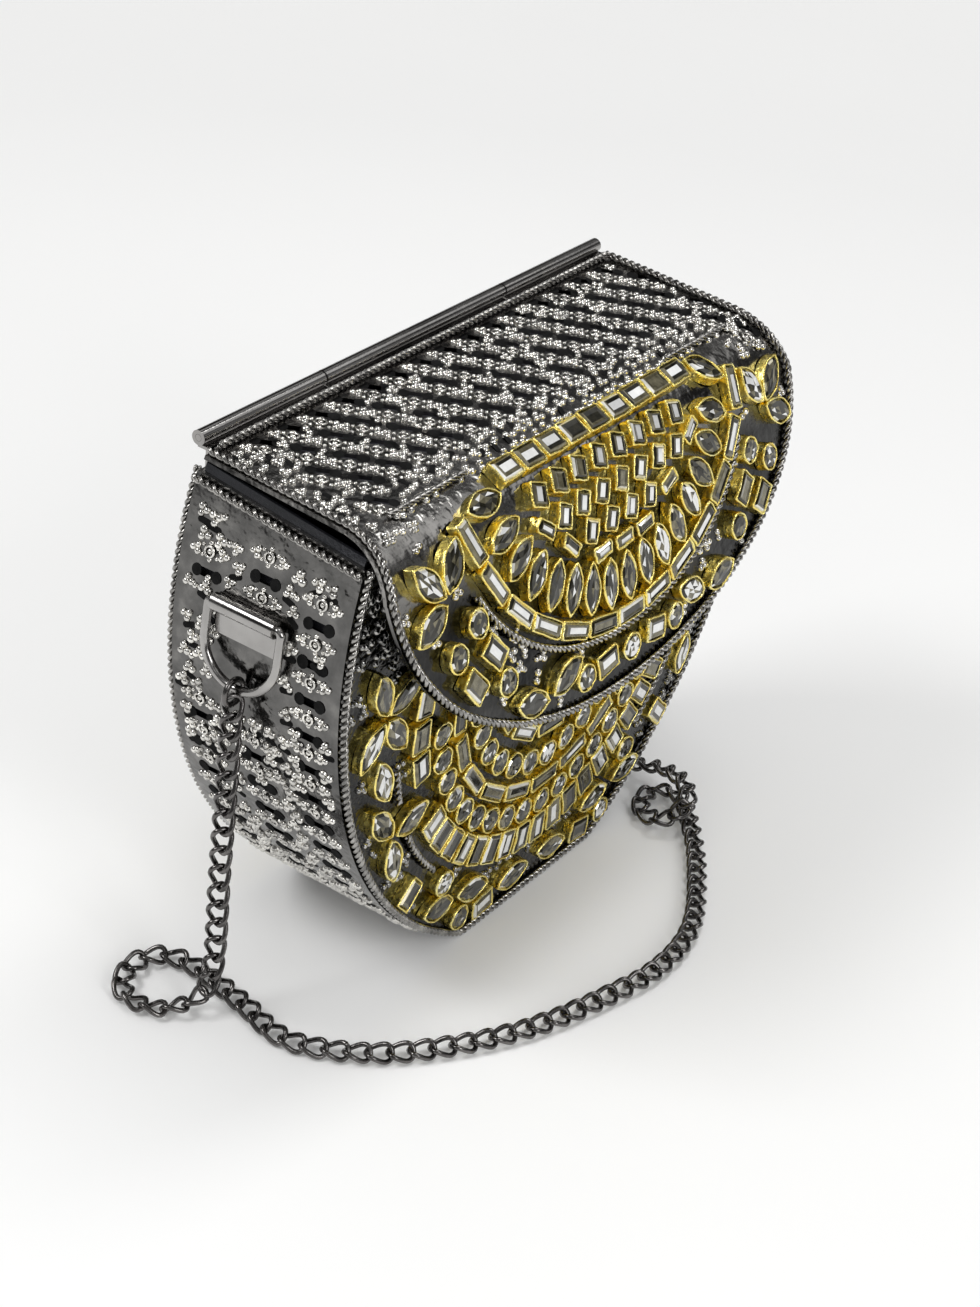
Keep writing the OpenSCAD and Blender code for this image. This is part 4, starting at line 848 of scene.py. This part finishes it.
def cut_stone(pile, kind, place, shares, lift):
    """Pointed or round glass: a smooth girdle and an irregular mosaic of facets, each facet given one of the
    bright, middle and dark glasses as painted highlight, reflection and shade over the glass's own tone.
    """
    long, wide = SIZES[kind]
    girdle = form_outline(kind, 0.5)[::2]
    n = len(girdle)
    inner = girdle * 0.8
    core_n = max(5, n // 2)
    t = round_angles(core_n) + rng.uniform(0, 1)
    ax, ay = (long / 2 - 0.9) * 0.48, (wide / 2 - 0.9) * 0.42
    core = np.array([(ax * math.cos(x) * rng.uniform(0.85, 1.15), ay * math.sin(x) * rng.uniform(0.8, 1.2))
                     for x in t])
    heart = (sway(0.2) * ax, sway(0.3) * ay)
    v = [(x, y, 3.4 + lift) for x, y in girdle] + [(x, y, 4.15 + lift) for x, y in inner]
    v += [(x, y, 4.25 + lift + sway(0.14)) for x, y in core]
    v += [(*heart, 4.28 + lift + sway(0.1))]
    facets = joined_rings(inner, core, long, wide)
    facets += [(2 * n + k, 2 * n + (k + 1) % core_n, len(v) - 1) for k in range(core_n)]
    girdle_mats = [rng.choice((1, 1, 2, 2, 0)) for _ in range(n)]
    facet_mats = [rng.choices((0, 1, 2), shares)[0] for _ in facets]
    pile.add(v, [grid_faces(2, n), np.array(facets)], [girdle_mats, facet_mats], place)


# Shares of bright, middle and dark facets in a pale and an olive stone, and how often one is pale. Bright
# facets are painted highlights and reflections, dark ones painted shade, over the glass's own pale and olive
# tones.
PALE_LOOK, OLIVE_LOOK = (0.62, 0.22, 0.16), (0.07, 0.25, 0.68)
PALE_SHARE = {"petal": 0.42, "leaf": 0.1, "round": 0.2}
DARK_TABLES, STONE_TURN, STONE_TIP = 0.35, 1.6, 2.2
# Bezel height that the heights in step_stone and cut_stone are for
DRAWN_BEZEL_H = 4


def set_stones(label, layout, put, body, tall, groups):
    """Bezels and stones of one face, with a piece of metal and one of glass for each group of kinds."""
    for kinds in groups:
        metal, glass = Pile(), Pile()
        for kind in kinds:
            for x, y, turn in layout[kind]:
                place = put(x, y, turn + sway(STONE_TURN))
                place = place @ rot("X", sway(STONE_TIP))
                place = place @ rot("Y", sway(STONE_TIP))
                bezel(metal, kind, place, tall)
                if kind in PALE_SHARE:
                    look = PALE_LOOK if rng.random() < PALE_SHARE[kind] else OLIVE_LOOK
                    cut_stone(glass, kind, place, look, tall - DRAWN_BEZEL_H)
                else:
                    step_stone(glass, kind, place, tall - DRAWN_BEZEL_H)
        name = f"{label}_{kinds[0]}"
        node = name if len(groups) > 1 else label
        metal.build(f"{name}_settings", [GOLD, GOLD_SIDE_SHADED], body, "brass_bezels", [f"{node}_bezels"])
        glass.build(f"{name}_glass", [GLASS_PALE_AND_HIGHLIGHT, GLASS_MID, GLASS_DARK_AND_SHADED], body, "glass_stones",
                    [f"{node}_stones"], False)


set_stones("flap", flap, on_lid, "lid", BEZEL_H,
           [("bar", "short"), ("brick", "tile"), ("leaf",), ("petal",), ("round",)])
set_stones("front", front, on_front, "case", LOW_BEZEL_H, [("bar",), ("brick",), ("petal",), ("round",)])
set_stones("back", back, on_back, "case", LOW_BEZEL_H, [("brick", "petal", "round")])

# Twisted ropes
THIN_ROPE_R, MOUTH_ROPE_DROP, MEDALLION_ROPE_OUT, MEDALLION_ROPE_TOP = 0.9, 1.6, 1.0, 129.0
ROW_ROPE_S, ROW_ROPE_FROM, ROW_ROPE_TO, BACK_ROPE_S, BACK_ROPE_LIFT = 47.6, 46.5, 78.0, 1.7, 0.8


def edge_path(y):
    """Along a face's edge, from the mouth down one side to the foot and up the other side."""
    r = SIDE_R - ROPE_R
    foot = -math.degrees(math.asin((SIDE_H - ROPE_R) / r))
    top = math.degrees(math.asin((rim_at(y) - SIDE_H) / r))
    arc = [(r * cos(a) - SIDE_PAST, SIDE_H + r * sin(a)) for a in np.linspace(top, foot, 90)]
    return [(x, y + Y_SHIFT, z) for x, z in [(-x, z) for x, z in arc] + arc[::-1]]


def lid_point(x, s, out=ROPE_R):
    return (x, lid_y(s) - out * sin(lid_angle(s)) + Y_SHIFT, lid_z(s) + out * cos(lid_angle(s)))


def lid_edge_path(inset=1.0):
    half = [(side_x(lid_z(s), LID_INSET + inset), s) for s in np.linspace(0.6, lid_s(FLAP_WIDE_H), 60)]
    for t in np.linspace(0, 90, 60):
        z = FLAP_WIDE_H - (FLAP_DROP - inset) * sin(t)
        x = min((FLAP_HALF - inset) * cos(t), side_x(z, LID_INSET + inset))
        if z < FLAP_WIDE_H - 0.3:
            half.append((x, lid_s(z)))
    return [lid_point(-x, s) for x, s in half] + [lid_point(x, s) for x, s in half[::-1]]


def medallion_path():
    """Round the outer stones of the flap's medallion."""
    wide = BAR_ARC[0] + SIZES["bar"][1] / 2 + TRIM / 2 + MEDALLION_ROPE_OUT
    deep = lid_z(ROW_REACH) - lid_z(ROW_REACH + BAR_ARC[1] + SIZES["bar"][1] / 2 + TRIM / 2)
    points = [(wide * cos(t), lid_z(ROW_REACH) - (deep + MEDALLION_ROPE_OUT) * sin(t))
              for t in np.linspace(0, 180, 120)]
    return [lid_point(x, lid_s(z)) for x, z in points if z < MEDALLION_ROPE_TOP]


def rim_spot(side, y):
    a = math.degrees(math.asin((rim_at(y) - MOUTH_ROPE_DROP - SIDE_H) / SIDE_R))
    r = SIDE_R + ROPE_R + 2 * GAP
    return (side * (r * cos(a) - SIDE_PAST), y + Y_SHIFT, SIDE_H + r * sin(a))


def front_arc(side, start, end):
    return [(-side * ROPE_ARC_R * cos(a), -HALF - ROPE_R - GAP + Y_SHIFT, FAN_H + ROPE_ARC_R * sin(a))
            for a in np.linspace(start, end, 30)]


def rope_piece(name, body, node, paths, thin=()):
    """One piece with a rope on each path, and a thinner one on each thin path."""
    pile = Pile()
    for path in paths:
        rope(pile, path)
    for path in thin:
        rope(pile, path, THIN_ROPE_R)
    pile.build(name, [ROPE], body, "rope_wire", [node])


for name, y in (("front", -HALF - ROPE_R - GAP), ("back", HALF + ROPE_R + GAP)):
    rope_piece(f"{name}_edge_twist", "case", f"{name}_edge_rope", [edge_path(y)])
rope_piece("mouth_twists", "case", "mouth_ropes",
           [np.linspace(rim_spot(side, HALF), rim_spot(side, -HALF), 40) for side in (-1, 1)])
rope_piece("lid_edge_twist", "lid", "lid_edge_rope", [lid_edge_path()])
BACK_HALF = side_x(LID_H) - LID_INSET - TRIM - ROPE_R
rope_piece("lid_back_twist", "lid", "lid_back_rope",
           [[lid_point(x, BACK_ROPE_S, ROPE_R + BACK_ROPE_LIFT + 2 * GAP)
             for x in np.linspace(-BACK_HALF, BACK_HALF, 60)]])
rope_piece("medallion_twist", "lid", "medallion_rope", [medallion_path()],
           [[lid_point(side * x, ROW_ROPE_S) for x in np.linspace(ROW_ROPE_FROM, ROW_ROPE_TO, 30)]
            for side in (-1, 1)])
rope_piece("fan_twists", "case", "front_rope_arcs",
           [front_arc(side, *span) for side in (-1, 1) for span in ((188, 197), (208, 227))])


# Florets, beads, and pierced holes drawn as dark patches of painted shade
def patch(pile, place, points):
    """A dark patch just above the sheet, painted shade that stands for an opening."""
    pile.add([(x, y, 0.02) for x, y in points], [np.arange(len(points))[None]], 1, place)


def hole(pile, place, x, y, turn, half, wide):
    """A dark patch of painted shade in the form of a pierced opening with rounded ends."""
    m = rot("Z", turn)[:2, :2]
    patch(pile, place, [m @ np.array([half * end + wide * 0.9 * cos(a), wide * 0.9 * sin(a) * 1.1]) + [x, y]
                        for end, start in ((1, -110), (-1, 70)) for a in range(start, start + 221, 44)])


def slot_ends(pile, place, x):
    """Round dark patches of painted shade at the ends of a slot of the sheet, which make it look a dog-bone.
    """
    for end in (-1, 1):
        r, n = rng.uniform(1.55, 2.0), 12
        at = sway(0.25)
        patch(pile, place, [(x + at + r * cos(360 * k / n), end * 3.1 + 0.92 * r * sin(360 * k / n))
                            for k in range(n)])


def cluster(pile, place, count, r):
    """A few touching beads."""
    turn = rng.uniform(0, 360)
    if count == 2:
        for k in (-1, 1):
            bead(pile, place, k * r * cos(turn), k * r * sin(turn), r, r)
    else:
        trefoil(pile, place, 0, 0, turn, r)
        if count > 3:
            bead(pile, place, 2.4 * r * cos(turn), 2.4 * r * sin(turn), r * 0.85, r * 0.85)


def blocked(x, y, layout, room, sign):
    """Whether a place lies on or near one of the stones."""
    for kind, spots in layout.items():
        long, wide = SIZES[kind]
        for sx, sy, turn in spots:
            dx, dy = x - sx, (y - sy) * sign
            if dx * dx + dy * dy < 130:
                u, w = dx * cos(turn) + dy * sin(turn), dy * cos(turn) - dx * sin(turn)
                if abs(u) < long / 2 + room and abs(w) < wide / 2 + room:
                    return True
    return False


SIDE_PITCH, COLUMN_PITCH, FIRST_ANGLE = 10.6, 17.5, -54.0
TAB_ABOVE, TAB_BELOW = 2.1, 30.0
TOP_TURN, TOP_PITCH, TOP_FIRST, TOP_ROW, TOP_HALF, TOP_ROWS = 34.0, 11.0, 8.5, 9.0, 84.0, 6
FLORET_ROOM, TRIM_ROOM, MEDALLION_ROOM = 1.5, 1.6, 5.5
SLOT_DROP, TOP_SLOT_DROP, SLOT_LONG, SLOT_WIDE = 5.8, 4.6, 6.8, 2.4
FRONT_FLORETS = [(-66, 26, 0), (-52, 32, 0), (-38, 24, 0), (-24, 32, 0), (-78, 38, 0)]


def side_clear(a, y, half):
    """Whether a place on a side is clear of the mouth and of the ring's tab."""
    z = SIDE_H + SIDE_R * sin(a)
    return z < rim_at(y) - ROPE_R * 2 - SIDE_PITCH / 2 and (
        abs(y - RING_BACK) > RING_BARREL / 2 + half
        or z > RING_H + TAB_ABOVE + RING_BARREL_R or z < RING_H - TAB_BELOW)


def side_floret_places():
    row_angle = math.degrees(SIDE_PITCH / SIDE_R)
    rows = math.ceil((math.degrees(math.asin((RIM_H - SIDE_H) / SIDE_R)) - FIRST_ANGLE) / row_angle)
    places = [(FIRST_ANGLE + (row + (0.5 if column == 0 else 0)) * row_angle, column * COLUMN_PITCH)
              for row in range(rows) for column in (-1, 0, 1)]
    return [(a, y) for a, y in places if side_clear(a, y, FLORET_REACH + FLORET_ROOM)]


def top_floret_places():
    columns = int(TOP_HALF // TOP_PITCH)
    before_row = ROW_REACH - BRICK_WIDE / 2 - FLORET_REACH - FLORET_ROOM
    beside_medallion = BAR_ARC[0] + SIZES["bar"][1] + FLORET_REACH
    places = [((i + (row % 2) / 2) * TOP_PITCH, TOP_FIRST + row * TOP_ROW)
              for row in range(TOP_ROWS) for i in range(-columns, columns + 1)]
    return [(x, s) for x, s in places if abs(x) < TOP_HALF and (s < before_row or abs(x) > beside_medallion)]


def on_slot(dx, dy, shift, room):
    """Whether a place lies over the pierced slot of a floret, whose centre is shift below it."""
    return abs(dx - shift) < SLOT_WIDE / 2 + room and abs(dy) < SLOT_LONG / 2 - 0.3


def scattered(half_count, rows, pitch, first, row_pitch, stray_x, stray_y):
    """Places of a staggered grid, each a little astray."""
    for i in range(-half_count, half_count + 1):
        for j in range(rows):
            yield ((i + (j % 2) / 2) * pitch + sway(stray_x),
                   first + j * row_pitch + sway(stray_y))


def side_beads(name, side):
    pile = Pile()
    places = side_floret_places()
    for place in (on_side(side, a, y) for a, y in places):
        floret(pile, place, 1.12)
        slot_ends(pile, place, SLOT_DROP)
    for i in range(34):
        for j in range(-5, 6):
            a = -58 + math.degrees((i * 4.7 + sway(0.6)) / SIDE_R)
            y = (j + (i % 2) / 2) * 5.0 + sway(0.7)
            gaps = [(math.radians(fa - a) * SIDE_R, fy - y) for fa, fy in places]
            near = any(abs(u) < 3.3 and abs(w) < 6.2 or on_slot(u, w, SLOT_DROP, 0.8) for u, w in gaps)
            if abs(y) < HALF - 3 and side_clear(a, y, 0.5) and not near and rng.random() < 0.93:
                place = on_side(side, a, y)
                cluster(pile, place, rng.choice((3, 3, 4)), rng.uniform(0.95, 1.2))
                if rng.random() < 0.6:
                    hole(pile, place, 2.6, sway(1), 90 + sway(35), 1.3, 0.9)
    pile.build(f"{name}_beads", [BEADS, HOLE_SHADE], "case", "bead_metal", [f"{name}_florets"])


def top_beads(pile, florets):
    """Beads, and holes as dark patches of painted shade, between the florets of the lid's top."""
    for x, s in scattered(19, 11, 4.9, 5.2, 4.2, 0.6, 0.6):
        near = False
        for fx, fs in florets:
            dx, ds = x - fx, s - fs
            if abs(dx) < 12 and abs(ds) < 12:
                u = dx * cos(TOP_TURN) - ds * sin(TOP_TURN)
                w = -dx * sin(TOP_TURN) - ds * cos(TOP_TURN)
                near = near or abs(u) < 2.9 and abs(w) < 5.6 or on_slot(u, w, TOP_SLOT_DROP, 0.7)
        if abs(x) < side_x(lid_z(s), LID_INSET + TRIM + 2) and not near and s < 48.5:
            cluster(pile, on_lid(x, s), rng.choice((2, 3, 3)), rng.uniform(0.9, 1.1))
            if rng.random() < 0.35:
                hole(pile, on_lid(x, s), 0, 2.6, 90 - TOP_TURN + sway(30), 1.3, 0.8)


def flap_beads(pile, florets):
    """Beads on the flap, outside the medallion and clear of stones and florets."""
    wide, deep = (half + MEDALLION_ROOM for half in BAR_ARC)
    for x, s in scattered(19, 15, 5.1, 47.5, 4.9, 0.7, 0.7):
        z = lid_z(s)
        edge = side_x(z, LID_INSET + TRIM + TRIM_ROOM)
        if z < FLAP_WIDE_H:
            fall = (FLAP_WIDE_H - z) / (FLAP_DROP - TRIM - TRIM_ROOM)
            edge = min(edge, (FLAP_HALF - TRIM - TRIM_ROOM) * math.sqrt(max(0, 1 - fall * fall)))
        ground = abs(x) > wide + 1 if s < ROW_REACH else (x / wide) ** 2 + ((s - ROW_REACH) / deep) ** 2 > 1
        near = any(abs(x - fx) < 4.4 and abs(s - fs) < 4.6 for fx, fs in florets)
        if abs(x) < edge and ground and not near and not blocked(x, s, flap, 1.5, -1) and rng.random() < 0.86:
            cluster(pile, on_lid(x, s), rng.choice((2, 3, 3, 4)), rng.uniform(0.95, 1.15))


def lid_beads():
    pile = Pile()
    florets = top_floret_places()
    for place in (on_lid(x, s, TOP_TURN) for x, s in florets):
        floret(pile, place, 1.2)
        slot_ends(pile, place, TOP_SLOT_DROP)
    top_beads(pile, florets)
    flap_beads(pile, florets)
    pile.build("lid_beads", [BEADS, HOLE_SHADE], "lid", "bead_metal", ["lid_florets"])


def front_beads():
    """Florets and beads outside the fan, clear of its stones and of the rope arcs."""
    pile = Pile()
    florets = raised(FRONT_FLORETS)
    for x, z, turn in florets:
        floret(pile, on_front(x, z, turn), 1.0)
    for x, z in scattered(19, 29, 5.2, 5, 4.8, 0.7, 0.6):
        out = math.hypot(x, z - FAN_H) > FAN_R + 5 if z < FAN_H + 4 else abs(x) > 18
        near = any(abs(x - fx) < 3.6 and abs(z - fz) < 6.5 for fx, fz, _ in florets)
        arc = abs(math.hypot(x, z - FAN_H) - ROPE_ARC_R) < 2.4 and FAN_H - 55 < z < FAN_H
        if abs(x) < side_x(z, 4.2) and z < 136 and out and not near and not arc:
            if not blocked(x, z, front, 1.4, 1) and rng.random() < 0.85:
                cluster(pile, on_front(x, z), rng.choice((2, 3, 3, 4)), rng.uniform(0.95, 1.15))
    # The front's beads take the darker bead metal, painted shade under the flap.
    pile.build("front_beads", [BEADS_SHADED], "case", "bead_metal", ["front_florets"])


def back_beads():
    """Beads on the back, inside the fan's border of stones and up to the mouth."""
    pile = Pile()
    for x, z in scattered(15, 24, 5.6, 18, 4.9, 0.6, 0.6):
        inside = math.hypot(x, z - FAN_H) < FAN_R - 6 if z < FAN_H else abs(x) < side_x(z) - 9
        if inside and z < 131 and not blocked(x, z, back, 1.4, 1) and rng.random() < 0.9:
            cluster(pile, on_back(x, z), rng.choice((3, 3, 4)), rng.uniform(0.95, 1.15))
    pile.build("back_beads", [BEADS], "case", "bead_metal")


side_beads("left", -1)
side_beads("right", 1)
lid_beads()
front_beads()
back_beads()
